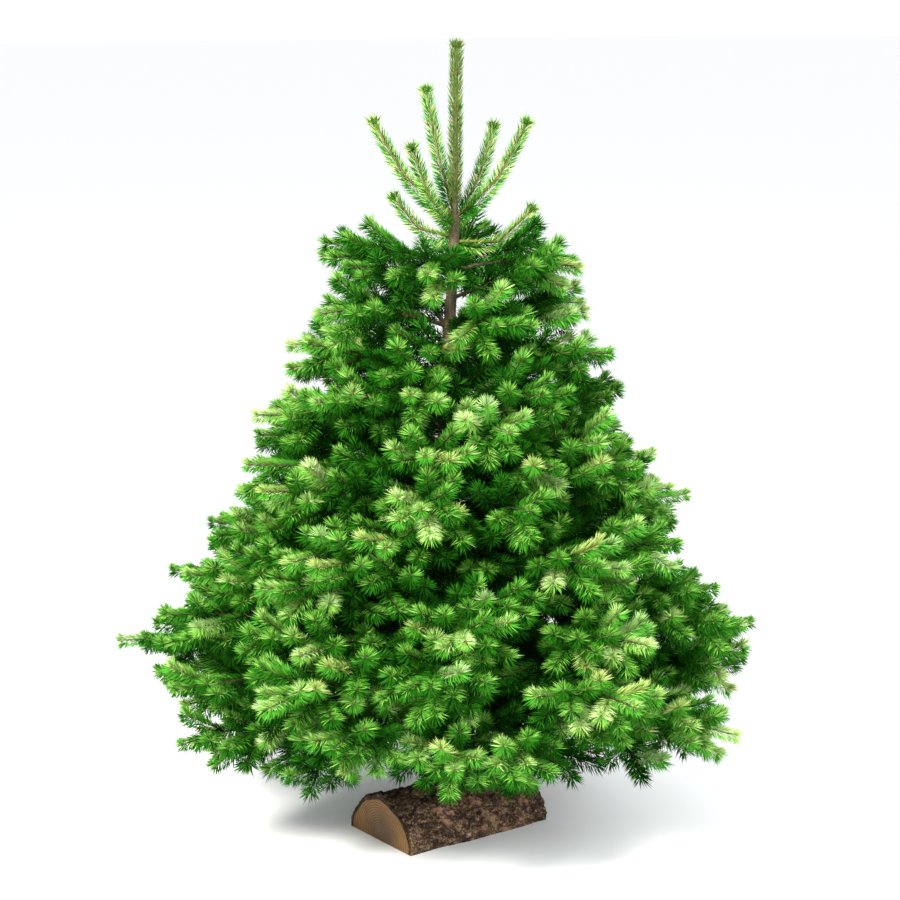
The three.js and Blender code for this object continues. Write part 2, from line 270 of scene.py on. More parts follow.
@dataclass(frozen=True)
class ShootHabit:
    """How shoots follow each other, in millimetres and degrees.

    year is the length of a year's growth, fork the angle between a stem and its side shoots, tilt
    how far these point up on one side and down on the other by turns, and hang how far down they
    point at most. share is how long they are for the way left to the stem's tip, up to longest.
    Those over branches_over carry a pair in their middle, and pair is how long that is for them.
    No shoot is under shortest, and neck is kept bare before the first. girth is how far the needles
    reach round a shoot, and room is kept between two boughs' needles.
    """

    year: float = 60
    fork: float = 50
    tilt: float = 30
    hang: float = 30
    share: float = 0.7
    pair: float = 0.38
    longest: float = 165
    branches_over: float = 70
    shortest: float = 34
    neck: float = 18
    girth: float = 38
    room: float = 2


# ---------------------------------------------------------------- growth


class Rank(Enum):
    """What a shoot is in its frond."""

    INNER = 0
    LEADER = 1
    SIDE = 2
    SMALL = 3
    FINE = 4


@dataclass(frozen=True)
class FineHabit:
    """One round of fine twigs on the shoots that are there, in millimetres and degrees.

    One stands every spacing or so along a parent. rolls says where round it, from 0 for the upper
    side. share is how long they are for the way left to its tip, between shortest and longest. own
    and other are how far they keep from twigs of their own bough and of other boughs, outward is how
    much they turn away from the trunk, and fork is their angle to the parent.
    """

    parents: tuple[Rank, ...]
    spacing: float
    rolls: tuple[float, ...]
    share: float
    longest: float
    own: float
    other: float
    outward: float = 0.5
    shortest: float = 30
    fork: float = 48


@dataclass(frozen=True)
class BoughChance:
    """How much boughs differ: degrees of turn, a share of reach, millimetres of rise and height."""

    turn: float = 6
    reach: float = 0.035
    rise: float = 12
    height: float = 7


@dataclass(frozen=True)
class WeakRow:
    """The weak boughs between a tier and the next: how many, and their reach for the tiers' own."""

    boughs: int
    share: float


WEAK_ROWS = (
    WeakRow(11, 0.9),
    WeakRow(10, 0.9),
    WeakRow(9, 0.9),
    WeakRow(9, 0.9),
    WeakRow(8, 0.87),
    WeakRow(6, 0.83),
    WeakRow(4, 0.78),
    WeakRow(2, 0.73),
)
WEAK_TRIES = 14
FINE_ROUNDS = (
    FineHabit((Rank.LEADER, Rank.SIDE, Rank.SMALL), 34, (86, -86), 0.64, 92, 19, 25, 0.3),
    FineHabit((Rank.LEADER, Rank.SIDE, Rank.SMALL), 40, (8,), 0.64, 76, 19, 25),
    FineHabit((Rank.LEADER, Rank.SIDE, Rank.SMALL), 38, (174,), 0.62, 74, 18, 22),
    FineHabit((Rank.INNER,), 24, (60, -60, 150, -150), 0.5, 70, 16, 20, 0.6),
    FineHabit((Rank.INNER,), 22, (0, 105, -105, 180), 0.5, 70, 14, 16, 0.3),
    FineHabit((Rank.SMALL, Rank.FINE), 34, (80, -80), 0.64, 62, 19, 23),
    FineHabit((Rank.LEADER, Rank.SIDE, Rank.FINE), 30, (40, -40, 130, -130), 0.64, 60, 19, 23, 0.6),
)


@dataclass(frozen=True)
class CrownLimits:
    """Where fine twigs end, in millimetres.

    They keep from underside up, and from front_rise more at the crown's front. They keep to a share
    of the reach that the tiers have at a height, and tip_room more. The last finger of a main bough
    has none, nor has the last neck of any other shoot.
    """

    underside: float = 132
    front_rise: float = 22
    share: float = 0.91
    tip_room: float = 10
    finger: float = 44
    neck: float = 14


@dataclass
class Shoot:
    """One shoot: its middle line, the number of its bough and its rank."""

    line: Line
    bough: int
    rank: Rank

    @property
    def end(self) -> np.ndarray:
        """Its tip."""
        return self.line.points[-1]


@dataclass
class Bough:
    """One bough: its tier, its line from the trunk's middle to its tip, and its own chance."""

    name: str
    tier: Tier
    line: Line
    draw: SeededDraw
    weak: bool = False

    SLIMMEST = 1.5
    THICKENING = 0.0105

    @property
    def radius(self) -> float:
        """Its radius at the trunk, in millimetres."""
        return self.SLIMMEST + self.line.length * self.THICKENING


@dataclass
class Growth:
    """A bough's shoots as the rule wants them, before they are tested for room."""

    sides: list[tuple[np.ndarray, np.ndarray]] = field(default_factory=list)
    smaller: list[tuple[np.ndarray, np.ndarray, int]] = field(default_factory=list)


class Space:
    """The stretches of shoot that have been placed, for tests of room."""

    def __init__(self, most: int = 20_000) -> None:
        """Starts empty, with places for the most stretches that there can be."""
        self.count = 0
        self.starts = np.zeros((most, 3))
        self.ends = np.zeros((most, 3))
        self.owners = np.zeros(most, int)
        self.radii = np.zeros(most)

    def take(self, start: np.ndarray, end: np.ndarray, owner: int, radius: float) -> None:
        """Places a straight stretch."""
        i = self.count
        self.starts[i], self.ends[i], self.owners[i], self.radii[i] = start, end, owner, radius
        self.count += 1

    def distances(self, start: np.ndarray, end: np.ndarray) -> np.ndarray:
        """The least distance from a straight stretch to each placed one."""
        starts, ends = self.starts[: self.count], self.ends[: self.count]
        p, q, r = end - start, ends - starts, start - starts
        a, b, c = p @ p, q @ p, np.einsum("ij,ij->i", q, q)
        d, e = r @ p, np.einsum("ij,ij->i", q, r)
        flat = a * c - b * b
        s = np.where(flat > 1e-9, np.clip((b * e - c * d) / np.maximum(flat, 1e-9), 0, 1), 0)
        t = np.clip((b * s + e) / c, 0, 1)
        s = np.clip((b * t - d) / a, 0, 1)
        gap = start + s[:, None] * p - (starts + t[:, None] * q)
        return np.sqrt(np.einsum("ij,ij->i", gap, gap))

    def clear(
        self, start: np.ndarray, end: np.ndarray, owner: int, own: float, other: float | np.ndarray
    ) -> bool:
        """Whether a stretch keeps a distance from its own bough's and another from all others.

        Args:
            start: the stretch's foot.
            end: its tip.
            owner: the bough that it belongs to.
            own: the least distance to its own bough's stretches.
            other: the least distance to the others, for all or for each placed one.

        Returns:
            True where it keeps both.
        """
        least = np.where(self.owners[: self.count] == owner, own, other)
        return bool(np.all(self.distances(start, end) > least))

    def fits(self, start: np.ndarray, end: np.ndarray, owner: int, radius: float, room: float) -> bool:
        """Whether a stretch with a radius keeps clear of every other owner's, with room between."""
        return self.clear(start, end, owner, -1, radius + self.radii[: self.count] + room)


@dataclass
class Crown:
    """Grows the whole crown by the seeded rule and carries it on to fine twigs."""

    trunk: TrunkForm = TrunkForm()
    habit: ShootHabit = ShootHabit()
    limits: CrownLimits = CrownLimits()
    strong: BoughChance = BoughChance()
    weak: BoughChance = BoughChance(turn=24, reach=0.07, rise=26)
    space: Space = field(default_factory=Space)
    boughs: list[Bough] = field(default_factory=list)
    shoots: list[Shoot] = field(default_factory=list)

    # How near a weak bough's shoots may come to their own bough's and to other ones, and how near
    # a weak bough may come to others close to the trunk and further out, in millimetres.
    NEAR_OWN, NEAR_OTHER = 12, 27
    NEAR_INSIDE, NEAR_OUTSIDE = 9, 30

    def bough_line(self, height: float, turn: float, reach: float, rise: float, sweep: float) -> Line:
        """Where a bough runs: out from the trunk's middle, and levelling towards its tip.

        Args:
            height: of its node on the trunk.
            turn: its direction in degrees.
            reach: how far out its tip is.
            rise: how far its tip is above the node.
            sweep: the slope at which it leaves.

        Returns:
            Its middle line.
        """
        root = self.trunk.centre(height)
        out = np.array([math.cos(math.radians(turn)), math.sin(math.radians(turn)), 0.0])
        half = reach * 0.5
        knee = root + out * half
        knee[2] += half * math.tan(math.radians(sweep)) * 0.6 + rise * 0.5
        tip = root + out * reach
        tip[2] += rise
        return Line.bow(root, knee, tip)

    def _plan(self) -> None:
        """Plans every bough of the rule, from the lowest tier up."""
        for row, tier in enumerate(TIERS):
            for i in range(tier.boughs):
                draw = SeededDraw(1000 * (row + 1) + i)
                turn = self.trunk.turn + tier.turn + 360 * i / tier.boughs + draw.spread(self.strong.turn)
                front = max(0.0, math.cos(math.radians(turn - self.trunk.turn - self.trunk.front))) ** 2
                reach = tier.reach * (1 + draw.spread(self.strong.reach)) * (1 - tier.front_shrink * front)
                rise = tier.rise + draw.spread(self.strong.rise) + tier.front_lift * front
                height = tier.height + draw.spread(self.strong.height)
                line = self.bough_line(height, turn, reach, rise, tier.sweep)
                self.boughs.append(Bough(f"{tier.name}_{i + 1}", tier, line, draw))

    @staticmethod
    def side_shoot(
        start: np.ndarray, along: np.ndarray, side: int, angle: float, pitch: float, length: float
    ) -> tuple[np.ndarray, np.ndarray]:
        """A straight shoot from a place on a stem.

        Args:
            start: its foot.
            along: the stem's direction there.
            side: -1 or 1.
            angle: degrees between it and the stem.
            pitch: degrees that it points up.
            length: its length.

        Returns:
            Its foot and its tip.
        """
        across = unit(np.cross(UP, along)) * side
        angle, pitch = math.radians(angle), math.radians(pitch)
        aim = along * math.cos(angle) + across * math.sin(angle) + UP * math.sin(pitch)
        return start, start + unit(aim) * length

    def _wanted(self, bough: Bough) -> Growth:
        """The side shoots of one bough, and the pairs that the long ones carry."""
        habit, draw, line = self.habit, bough.draw, bough.line
        leafy = line.length * (1 - bough.tier.bare) - habit.neck
        years = max(1, math.floor(leafy / habit.year + 0.5))
        year = leafy / years
        growth = Growth()
        for back in range(years, 0, -1):
            share = 1 - back * year / line.length
            start, along = line.at(share), line.heading(share)
            for side in (-1, 1):
                angle = habit.fork + draw.spread(5)
                lifted = side if back % 2 else -side
                swing = lifted * habit.tilt * (0.4 + draw())
                pitch = max(swing - bough.tier.droop, -habit.hang)
                wanted = min(back * year * habit.share * (1 + draw.spread(0.12)), habit.longest)
                foot, tip = self.side_shoot(start, along, side, angle, pitch, wanted)
                growth.sides.append((foot, tip))
                middle, ahead = (foot + tip) / 2, unit(tip - foot)
                for own in (-1, 1):
                    length = wanted * habit.pair * (1 + draw.spread(0.1))
                    small = self.side_shoot(middle, ahead, own, habit.fork, draw.spread(9), length)
                    if wanted > habit.branches_over:
                        growth.smaller.append((*small, len(growth.sides) - 1))
        return growth

    def _claim(self, owner: int) -> None:
        """Takes the space of a bough's own line."""
        bough, steps = self.boughs[owner], 8
        for i in range(steps):
            leafy = (i + 0.5) / steps > bough.tier.bare
            radius = self.habit.girth if leafy else bough.radius
            self.space.take(bough.line.at(i / steps), bough.line.at((i + 1) / steps), owner, radius)

    def grow(self) -> None:
        """Places the rule's shoots, then weak boughs between the tiers, then the fine twigs."""
        self._plan()
        for owner in range(len(self.boughs)):
            self._claim(owner)
        self._grow_shoots(range(len(self.boughs)), self._place)
        self._grow_weak_boughs()
        for number, fine in enumerate(FINE_ROUNDS):
            self._grow_fine(fine, SeededDraw(500 + number))

    def _grow_shoots(self, owners: range, place: Callable[..., float]) -> None:
        """Places the leaders of some boughs, then their side shoots, then the pairs on these.

        Args:
            owners: the boughs' numbers.
            place: what places one shoot and says which share of it had room.
        """
        grown = [(owner, self._wanted(self.boughs[owner])) for owner in owners]
        kept: dict[tuple[int, int], float] = {}
        for owner in owners:
            bough = self.boughs[owner]
            self.shoots.append(Shoot(bough.line.stretch(0.1, bough.tier.bare, 4), owner, Rank.INNER))
            self.shoots.append(Shoot(bough.line.stretch(bough.tier.bare, 1), owner, Rank.LEADER))
        for owner, growth in grown:
            for number, (foot, tip) in enumerate(growth.sides):
                kept[owner, number] = place(foot, tip, owner, Rank.SIDE)
        for owner, growth in grown:
            for foot, tip, parent in growth.smaller:
                if kept[owner, parent] >= 0.75:
                    place(foot, tip, owner, Rank.SMALL)

    def _shorten(
        self,
        foot: np.ndarray,
        way: np.ndarray,
        owner: int,
        rank: Rank,
        shares: tuple[float, ...],
        shortest: float,
        free: Callable[[np.ndarray, np.ndarray], bool],
    ) -> float:
        """Places a shoot, whole or shortened, where it has room.

        Args:
            foot: its foot.
            way: the way from there to its tip at full length.
            owner: its bough's number.
            rank: what it is in the frond.
            shares: the shares of its length that are tried, longest first.
            shortest: the length under which it isn't placed.
            free: whether it has room, from its tip and the way there.

        Returns:
            The share of its length that was placed, or 0.
        """
        for share in shares:
            end = foot + way * share
            if np.linalg.norm(end - foot) < shortest:
                return 0
            if free(end, way * share):
                self._add(foot, end, owner, rank)
                return share
        return 0

    def _place(self, foot: np.ndarray, tip: np.ndarray, owner: int, rank: Rank) -> float:
        """Places a shoot of the rule, clear of all other boughs, and says which share of it."""
        girth, room = self.habit.girth, self.habit.room
        return self._shorten(
            foot, tip - foot, owner, rank, (1, 0.75, 0.5), self.habit.shortest,
            lambda end, _: self.space.fits(foot, end, owner, girth, room),
        )

    def _place_between(self, foot: np.ndarray, tip: np.ndarray, owner: int, rank: Rank) -> float:
        """Places a shoot of a weak bough, which may come nearer to its neighbours."""
        return self._shorten(
            foot, tip - foot, owner, rank, (1, 0.8, 0.6, 0.45), self.habit.shortest,
            lambda end, _: self.space.clear(
                foot + (end - foot) * 0.4, end, owner, self.NEAR_OWN, self.NEAR_OTHER
            ),
        )

    def _add(self, foot: np.ndarray, end: np.ndarray, owner: int, rank: Rank) -> None:
        """Adds a shoot that sags a little in its middle, so that its tip turns up."""
        self.space.take(foot, end, owner, self.habit.girth)
        sag = UP * np.linalg.norm(end - foot) * 0.07
        self.shoots.append(Shoot(Line.bow(foot, (foot + end) / 2 - sag, end, 6), owner, rank))

    def _grow_weak_boughs(self) -> None:
        """Fills the room between one tier and the next with weaker boughs from the trunk."""
        first = len(self.boughs)
        for number, (low, high, row) in enumerate(zip(TIERS, TIERS[1:], WEAK_ROWS)):
            draw = SeededDraw(300 + number)
            for i in range(row.boughs):
                turn = self.trunk.turn + low.turn + 360 * i / row.boughs
                tries = [self._weak_line(low, high, turn, row.share, draw) for _ in range(WEAK_TRIES)]
                found = max(tries, key=lambda line: line.length)
                if found.length >= 0.5 * high.reach:
                    self.boughs.append(Bough(f"{low.name}_weak_{i + 1}", low, found, draw, True))
                    self._claim(len(self.boughs) - 1)
        self._grow_shoots(range(first, len(self.boughs)), self._place_between)

    def _weak_line(self, low: Tier, high: Tier, turn: float, most: float, draw: SeededDraw) -> Line:
        """One try at a weak bough, as far out as it keeps clear of what is there.

        Args:
            low: the tier below it.
            high: the tier above it.
            turn: its direction in degrees, before chance.
            most: its reach as a share of the tiers' own.
            draw: its chance.

        Returns:
            Its line.
        """
        part = 0.5 + draw.spread(0.22)
        line = self.bough_line(
            mix(low.height, high.height, part),
            turn + draw.spread(self.weak.turn),
            mix(low.reach, high.reach, part) * (most + draw.spread(self.weak.reach)),
            mix(low.rise, high.rise, part) + draw.spread(self.weak.rise),
            mix(low.sweep, high.sweep, part),
        )
        steps, first = 16, 5
        for i in range(first, steps):
            least = self.NEAR_INSIDE if i == first else self.NEAR_OUTSIDE
            start, end = line.at(i / steps), line.at((i + 1) / steps)
            if not self.space.clear(start, end, -1, 0, least):
                return line.stretch(0, max(i / steps, 0.1), 40)
        return line

    def _grow_fine(self, fine: FineHabit, draw: SeededDraw) -> None:
        """Adds one round of fine twigs wherever they have room.

        Args:
            fine: how these twigs stand.
            draw: their chance.
        """
        for parent in [shoot for shoot in self.shoots if shoot.rank in fine.parents]:
            length = parent.line.length
            bare = self.limits.finger if parent.rank is Rank.LEADER else self.limits.neck
            for i in range(int((length - bare) / fine.spacing) + 1):
                back = bare + fine.spacing * (i + 0.3 + draw.spread(0.25))
                share = 1 - back / length
                if share < 0.05:
                    continue
                start, along = parent.line.at(share), parent.line.heading(share)
                beside = unit(np.cross(UP, along))
                over = np.cross(along, beside)
                away = unit(np.array([start[0], start[1], 0.0]))
                for roll in fine.rolls:
                    turn = math.radians(roll + draw.spread(16))
                    lean = math.radians(fine.fork + draw.spread(7))
                    outward = over * math.cos(turn) + beside * math.sin(turn)
                    aim = along * math.cos(lean) + outward * math.sin(lean) + away * fine.outward
                    wanted = min(22 + fine.share * back, fine.longest) * (1 + draw.spread(0.15))
                    self._place_fine(start, unit(aim) * wanted, parent, fine)

    def _place_fine(self, foot: np.ndarray, way: np.ndarray, parent: Shoot, fine: FineHabit) -> None:
        """Places a fine twig inside the crown's limits, where its outer part crowds nothing."""

        def free(end: np.ndarray, grown: np.ndarray) -> bool:
            """Whether it has room, from its tip and the way there."""
            most = self.reach_at(end[2]) * self.limits.share
            if math.hypot(end[0], end[1]) > most or end[2] < self.lowest_at(end):
                return False
            return self.space.clear(foot + grown * 0.6, end, parent.bough, fine.own, fine.other)

        self._shorten(foot, way, parent.bough, Rank.FINE, (1, 0.75, 0.55), fine.shortest, free)

    def reach_at(self, height: float) -> float:
        """How far out the crown reaches at a height."""
        tops = [tier.height + tier.rise for tier in TIERS]
        reaches = [tier.reach for tier in TIERS]
        return float(np.interp(height, tops, reaches)) + self.limits.tip_room

    def lowest_at(self, place: np.ndarray) -> float:
        """How far down a twig may hang at a place: the crown's underside rises towards its front."""
        turn = math.atan2(place[1], place[0]) - math.radians(self.trunk.turn + self.trunk.front)
        front = max(0.0, math.cos(turn)) * min(1.0, math.hypot(place[0], place[1]) / TIERS[0].reach)
        return self.limits.underside + self.limits.front_rise * front


# ---------------------------------------------------------------- joined meshes


@dataclass
class Batch:
    """Many small shapes on their way into one mesh."""

    vertices: list[np.ndarray] = field(default_factory=list)
    triangles: list[np.ndarray] = field(default_factory=list)
    slots: list[np.ndarray] = field(default_factory=list)
    count: int = 0

    def add(self, vertices: np.ndarray, triangles: np.ndarray, slots: np.ndarray) -> None:
        """Adds shapes.

        Args:
            vertices: their corners in millimetres.
            triangles: three corner numbers a face, from 0.
            slots: each face's material slot.
        """
        self.vertices.append(vertices)
        self.triangles.append(triangles + self.count)
        self.slots.append(slots)
        self.count += len(vertices)

    @property
    def faces(self) -> int:
        """How many triangles it holds."""
        return sum(len(t) for t in self.triangles)

    def piece(
        self, name: str, materials: Iterable[bpy.types.Material], smooth: bool = False
    ) -> bpy.types.Object:
        """The batch as one object in metres.

        Args:
            name: the piece's name.
            materials: its slots in order.
            smooth: whether its faces are shaded smooth.

        Returns:
            The object.
        """
        vertices = np.concatenate(self.vertices).astype(np.float32) * MM
        triangles = np.concatenate(self.triangles).astype(np.int32)
        mesh = bpy.data.meshes.new(name)
        mesh.vertices.add(len(vertices))
        mesh.vertices.foreach_set("co", vertices.ravel())
        mesh.loops.add(triangles.size)
        mesh.loops.foreach_set("vertex_index", triangles.ravel())
        mesh.polygons.add(len(triangles))
        mesh.polygons.foreach_set("loop_start", np.arange(0, triangles.size, 3, dtype=np.int32))
        mesh.polygons.foreach_set("material_index", np.concatenate(self.slots).astype(np.int32))
        mesh.update(calc_edges=True)
        mesh.shade_smooth() if smooth else mesh.shade_flat()
        for material in materials:
            mesh.materials.append(material)
        return show(mesh)


def show(mesh: bpy.types.Mesh) -> bpy.types.Object:
    """An object for a finished mesh, in the scene and named after it."""
    piece = bpy.data.objects.new(mesh.name, mesh)
    bpy.context.scene.collection.objects.link(piece)
    return piece


def hand_over(piece: bpy.types.Object, nodes: Iterable[str]) -> None:
    """Says which solids a finished piece stands for and body.

    Args:
        piece: the piece.
        nodes: the solids' names.
    """
    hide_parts(*nodes)
    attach(piece, "root")
    LOG.info("%s: %d faces", piece.name, len(piece.data.polygons))


def piece_from(
    name: str, work: bmesh.types.BMesh, material: bpy.types.Material, smooth: bool = True
) -> bpy.types.Object:
    """Turns finished mesh work, in millimetres, into an object in metres.

    Args:
        name: the piece's name.
        work: the mesh work, which is freed.
        material: its finish.
        smooth: whether its faces are shaded smooth.

    Returns:
        The object.
    """
    bmesh.ops.scale(work, vec=(MM, MM, MM), verts=work.verts)
    bmesh.ops.recalc_face_normals(work, faces=work.faces)
    for face in work.faces:
        face.smooth = smooth
    mesh = bpy.data.meshes.new(name)
    work.to_mesh(mesh)
    work.free()
    mesh.materials.append(material)
    return show(mesh)


# ---------------------------------------------------------------- shader maths


class Signal:
    """A node's output, on which Python's operators add Math nodes."""

    def __init__(self, bench: NodeBench, socket: bpy.types.NodeSocket) -> None:
        """Wraps a socket of a bench's tree."""
        self.bench = bench
        self.socket = socket

    def _math(self, operation: str, first: object, second: object) -> Signal:
        """A Math node on two values."""
        return self.bench.node("ShaderNodeMath", {"operation": operation}, {0: first, 1: second})

    def __add__(self, other: object) -> Signal:
        """The sum."""
        return self._math("ADD", self, other)

    __radd__ = __add__

    def __sub__(self, other: object) -> Signal:
        """The difference."""
        return self._math("SUBTRACT", self, other)

    def __mul__(self, other: object) -> Signal:
        """The product."""
        return self._math("MULTIPLY", self, other)

    __rmul__ = __mul__

    def __pow__(self, other: object) -> Signal:
        """The power."""
        return self._math("POWER", self, other)


class NodeBench:
    """One material's node tree."""

    def __init__(self, name: str) -> None:
        """Starts a material with its own shader and output."""
        self.material = bpy.data.materials.new(name)
        self.material.use_nodes = True
        self.tree = self.material.node_tree
        self.shader = self.tree.nodes["Principled BSDF"]

    def node(
        self, kind: str, settings: dict[str, object], inputs: dict[int | str, object], output: int | str = 0
    ) -> Signal:
        """Adds a node.

        Args:
            kind: the node's type.
            settings: its properties, set first; stops are a ramp's places and colours.
            inputs: values or signals by socket.
            output: the output to return.

        Returns:
            That output.
        """
        node = self.tree.nodes.new(kind)
        for key, value in settings.items():
            if key == "stops":
                self._set_stops(node.color_ramp, value)
            else:
                setattr(node, key, value)
        for key, value in inputs.items():
            self.feed(node.inputs[key], value)
        return Signal(self, node.outputs[output])

    @staticmethod
    def _set_stops(ramp: bpy.types.ColorRamp, stops: Iterable[tuple[float, Colour]]) -> None:
        """Gives a ramp its places and colours."""
        places = list(stops)
        while len(ramp.elements) < len(places):
            ramp.elements.new(1.0)
        for element, (place, colour) in zip(ramp.elements, places):
            element.position = place
            element.color = (*colour, 1.0)

    def feed(self, socket: bpy.types.NodeSocket, value: object) -> None:
        """Links a signal to a socket or sets its value."""
        if isinstance(value, Signal):
            self.tree.links.new(value.socket, socket)
        elif isinstance(value, tuple) and len(value) == 3 and socket.type == "RGBA":
            socket.default_value = (*value, 1.0)
        else:
            socket.default_value = value

    def coordinates(self) -> Signal:
        """The object's own coordinates, in metres."""
        return self.node("ShaderNodeTexCoord", {}, {}, "Object")

    def scaled(self, x: float, y: float, z: float) -> Signal:
        """The object's coordinates, multiplied along each axis."""
        return self.node("ShaderNodeMapping", {}, {"Vector": self.coordinates(), "Scale": (x, y, z)})

    def noise(self, at: Signal, scale: float, detail: float = 4.0, roughness: float = 0.55) -> Signal:
        """A noise from 0 to 1 at some coordinates."""
        return self.node(
            "ShaderNodeTexNoise",
            {},
            {"Vector": at, "Scale": scale, "Detail": detail, "Roughness": roughness},
        )

    def ramp(self, value: Signal, stops: Iterable[tuple[float, Colour]]) -> Signal:
        """A colour for each value."""
        return self.node("ShaderNodeValToRGB", {"stops": stops}, {0: value})

    def blend(self, factor: Signal | float, first: object, second: object, kind: str = "MIX") -> Signal:
        """Two colours mixed by a factor."""
        settings = {"data_type": "RGBA", "blend_type": kind}
        return self.node("ShaderNodeMix", settings, {0: factor, 6: first, 7: second}, 2)

    def fade(self, value: Signal, low: float, high: float, first: float, last: float) -> Signal:
        """A value's way from low to high, told as a number from first to last."""
        limits = {"Value": value, 1: low, 2: high, 3: first, 4: last}
        return self.node("ShaderNodeMapRange", {}, limits)

    def along(self, place: Signal, axis: str) -> Signal:
        """One of a place's coordinates."""
        return self.node("ShaderNodeSeparateXYZ", {}, {0: place}, axis)

    def bump(self, height: Signal, strength: float, distance: float) -> Signal:
        """A fine relief of a height, with its greatest depth in metres."""
        inputs = {"Strength": strength, "Distance": distance, "Height": height}
        return self.node("ShaderNodeBump", {}, inputs)

    def finish(self, inputs: dict[str, object]) -> bpy.types.Material:
        """Feeds the shader and returns the material."""
        for key, value in inputs.items():
            self.feed(self.shader.inputs[key], value)
        return self.material


Colour = tuple[float, float, float]


# ---------------------------------------------------------------- finishes


@dataclass(frozen=True)
class PlainFinish:
    """One even colour, for needles, fine twigs and buds that are dealt out by spray."""

    name: str
    colour: Colour
    roughness: float = 0.5
    specular: float = 0.35

    def material(self) -> bpy.types.Material:
        """The material."""
        bench = NodeBench(self.name)
        return bench.finish(
            {
                "Base Color": self.colour,
                "Roughness": self.roughness,
                "Specular IOR Level": self.specular,
            }
        )


class Tint(Enum):
    """The colours that sprays of needles come in."""

    SHADE = PlainFinish("needles_shade", (0.006, 0.046, 0.003), 0.7, 0.0)
    DEEP = PlainFinish("needles_deep", (0.020, 0.140, 0.006), 0.6, 0.05)
    MIDDLE = PlainFinish("needles_middle", (0.072, 0.315, 0.022), 0.5, 0.15)
    BRIGHT = PlainFinish("needles_bright", (0.235, 0.48, 0.078), 0.42, 0.25)
    FRESH = PlainFinish("needles_fresh", (0.47, 0.63, 0.22), 0.38, 0.35)
    PALE = PlainFinish("needles_pale", (0.64, 0.75, 0.38), 0.38, 0.35)
    SILVER = PlainFinish("needles_grey_green", (0.36, 0.53, 0.20), 0.45, 0.3)
    YELLOW = PlainFinish("needles_yellow_green", (0.46, 0.57, 0.17), 0.38, 0.35)
    OLIVE = PlainFinish("needles_olive", (0.13, 0.21, 0.032), 0.5, 0.2)


TINTS = list(Tint)
# The ladder of needle lightness: its darker steps are partly painted shade, for sprays inside the crown and
# needles under a spray, and partly the older needles' own darker green.
PAINTED_SHADE_AND_AGE_LADDER = (Tint.SHADE, Tint.DEEP, Tint.MIDDLE, Tint.BRIGHT, Tint.FRESH, Tint.PALE)


@dataclass(frozen=True)
class TrunkBarkFinish:
    """Smooth bark, grey-brown with paler scars, that turns to young olive bark at the top.

    It starts to turn at young_from and has turned over another young_over, in metres.
    """

    name: str
    dark: Colour
    middle: Colour
    light: Colour
    young: Colour = (0.105, 0.105, 0.030)
    young_from: float = 0.88
    young_over: float = 0.06

    def material(self) -> bpy.types.Material:
        """The material."""
        bench = NodeBench(self.name)
        long = bench.scaled(1.0, 1.0, 0.35)
        patches = bench.noise(long, 70, 5, 0.6)
        flecks = bench.noise(bench.scaled(1.0, 1.0, 1.6), 420, 3, 0.6)
        mottle = patches * 0.65 + flecks * 0.35
        bark = bench.ramp(mottle, ((0.40, self.dark), (0.5, self.middle), (0.61, self.light)))
        high = bench.along(bench.coordinates(), "Z")
        young = bench.fade(high, self.young_from, self.young_from + self.young_over, 0.0, 0.88)
        colour = bench.blend(young, bark, self.young)
        bump = bench.bump(patches * 0.5 + flecks * 0.5, 0.5, 0.0012)
        return bench.finish({"Base Color": colour, "Roughness": 0.8 + 0.15 * flecks, "Normal": bump})


@dataclass(frozen=True)
class LogBarkFinish:
    """Rough scaly bark: brown and light flakes, some pink or olive, dark where they part and fold, partly
    the cracks' own colour and partly painted shade in these recesses.
    """

    crack: Colour = (0.014, 0.009, 0.007)
    dark: Colour = (0.026, 0.014, 0.009)
    brown: Colour = (0.088, 0.050, 0.028)
    light: Colour = (0.38, 0.25, 0.165)
    pink: Colour = (0.42, 0.22, 0.165)
    olive: Colour = (0.15, 0.115, 0.035)

    def material(self) -> bpy.types.Material:
        """The material, which reads the height of the bark's own relief from its mesh and darkens the low
        places with it, partly as painted shade.
        """
        bench = NodeBench("log_bark")
        place = bench.coordinates()
        relief = bench.node("ShaderNodeAttribute", {"attribute_name": "relief"}, {}, "Fac")
        grains = bench.noise(place, 380, 5, 0.7)
        flakes = bench.noise(bench.scaled(0.7, 1.0, 1.0), 110, 5, 0.65)
        wide = bench.noise(place, 30, 2, 0.5)
        folds = bench.noise(bench.scaled(0.6, 1.0, 1.0), 48, 5, 0.6) - 0.5
        # crevice: dark wavy cracks, also sunk by the bump, partly dark bark and partly painted shade.
        crevice = bench.fade((folds * folds) ** 0.5, 0.0, 0.05, 1.0, 0.0)
        mottle = grains * 0.5 + flakes * 0.5
        flake = bench.ramp(mottle, ((0.40, self.dark), (0.5, self.brown), (0.60, self.light)))
        green = bench.fade(flakes * 0.5 + wide * 0.5, 0.5, 0.58, 0.0, 0.7)
        pink = bench.fade(wide * 0.8 + grains * 0.2, 0.54, 0.64, 0.0, 0.65)
        mossy = bench.blend(green, flake, self.olive)
        flushed = bench.blend(pink, mossy, self.pink)
        # Painted shade, with the cracks' own dark colour: the bark takes the crack colour where its mesh
        # relief is low.
        raised = bench.fade(relief * 0.75 + grains * 0.25, 0.16, 0.42, 0.0, 1.0)
        parted = bench.blend(raised, self.crack, flushed)
        colour = bench.blend(crevice * 0.9, parted, self.crack)
        bump = bench.bump(mottle - crevice * 0.4, 1.0, 0.002)
        return bench.finish(
            {"Base Color": colour, "Roughness": 0.95, "Normal": bump, "Specular IOR Level": 0.2}
        )


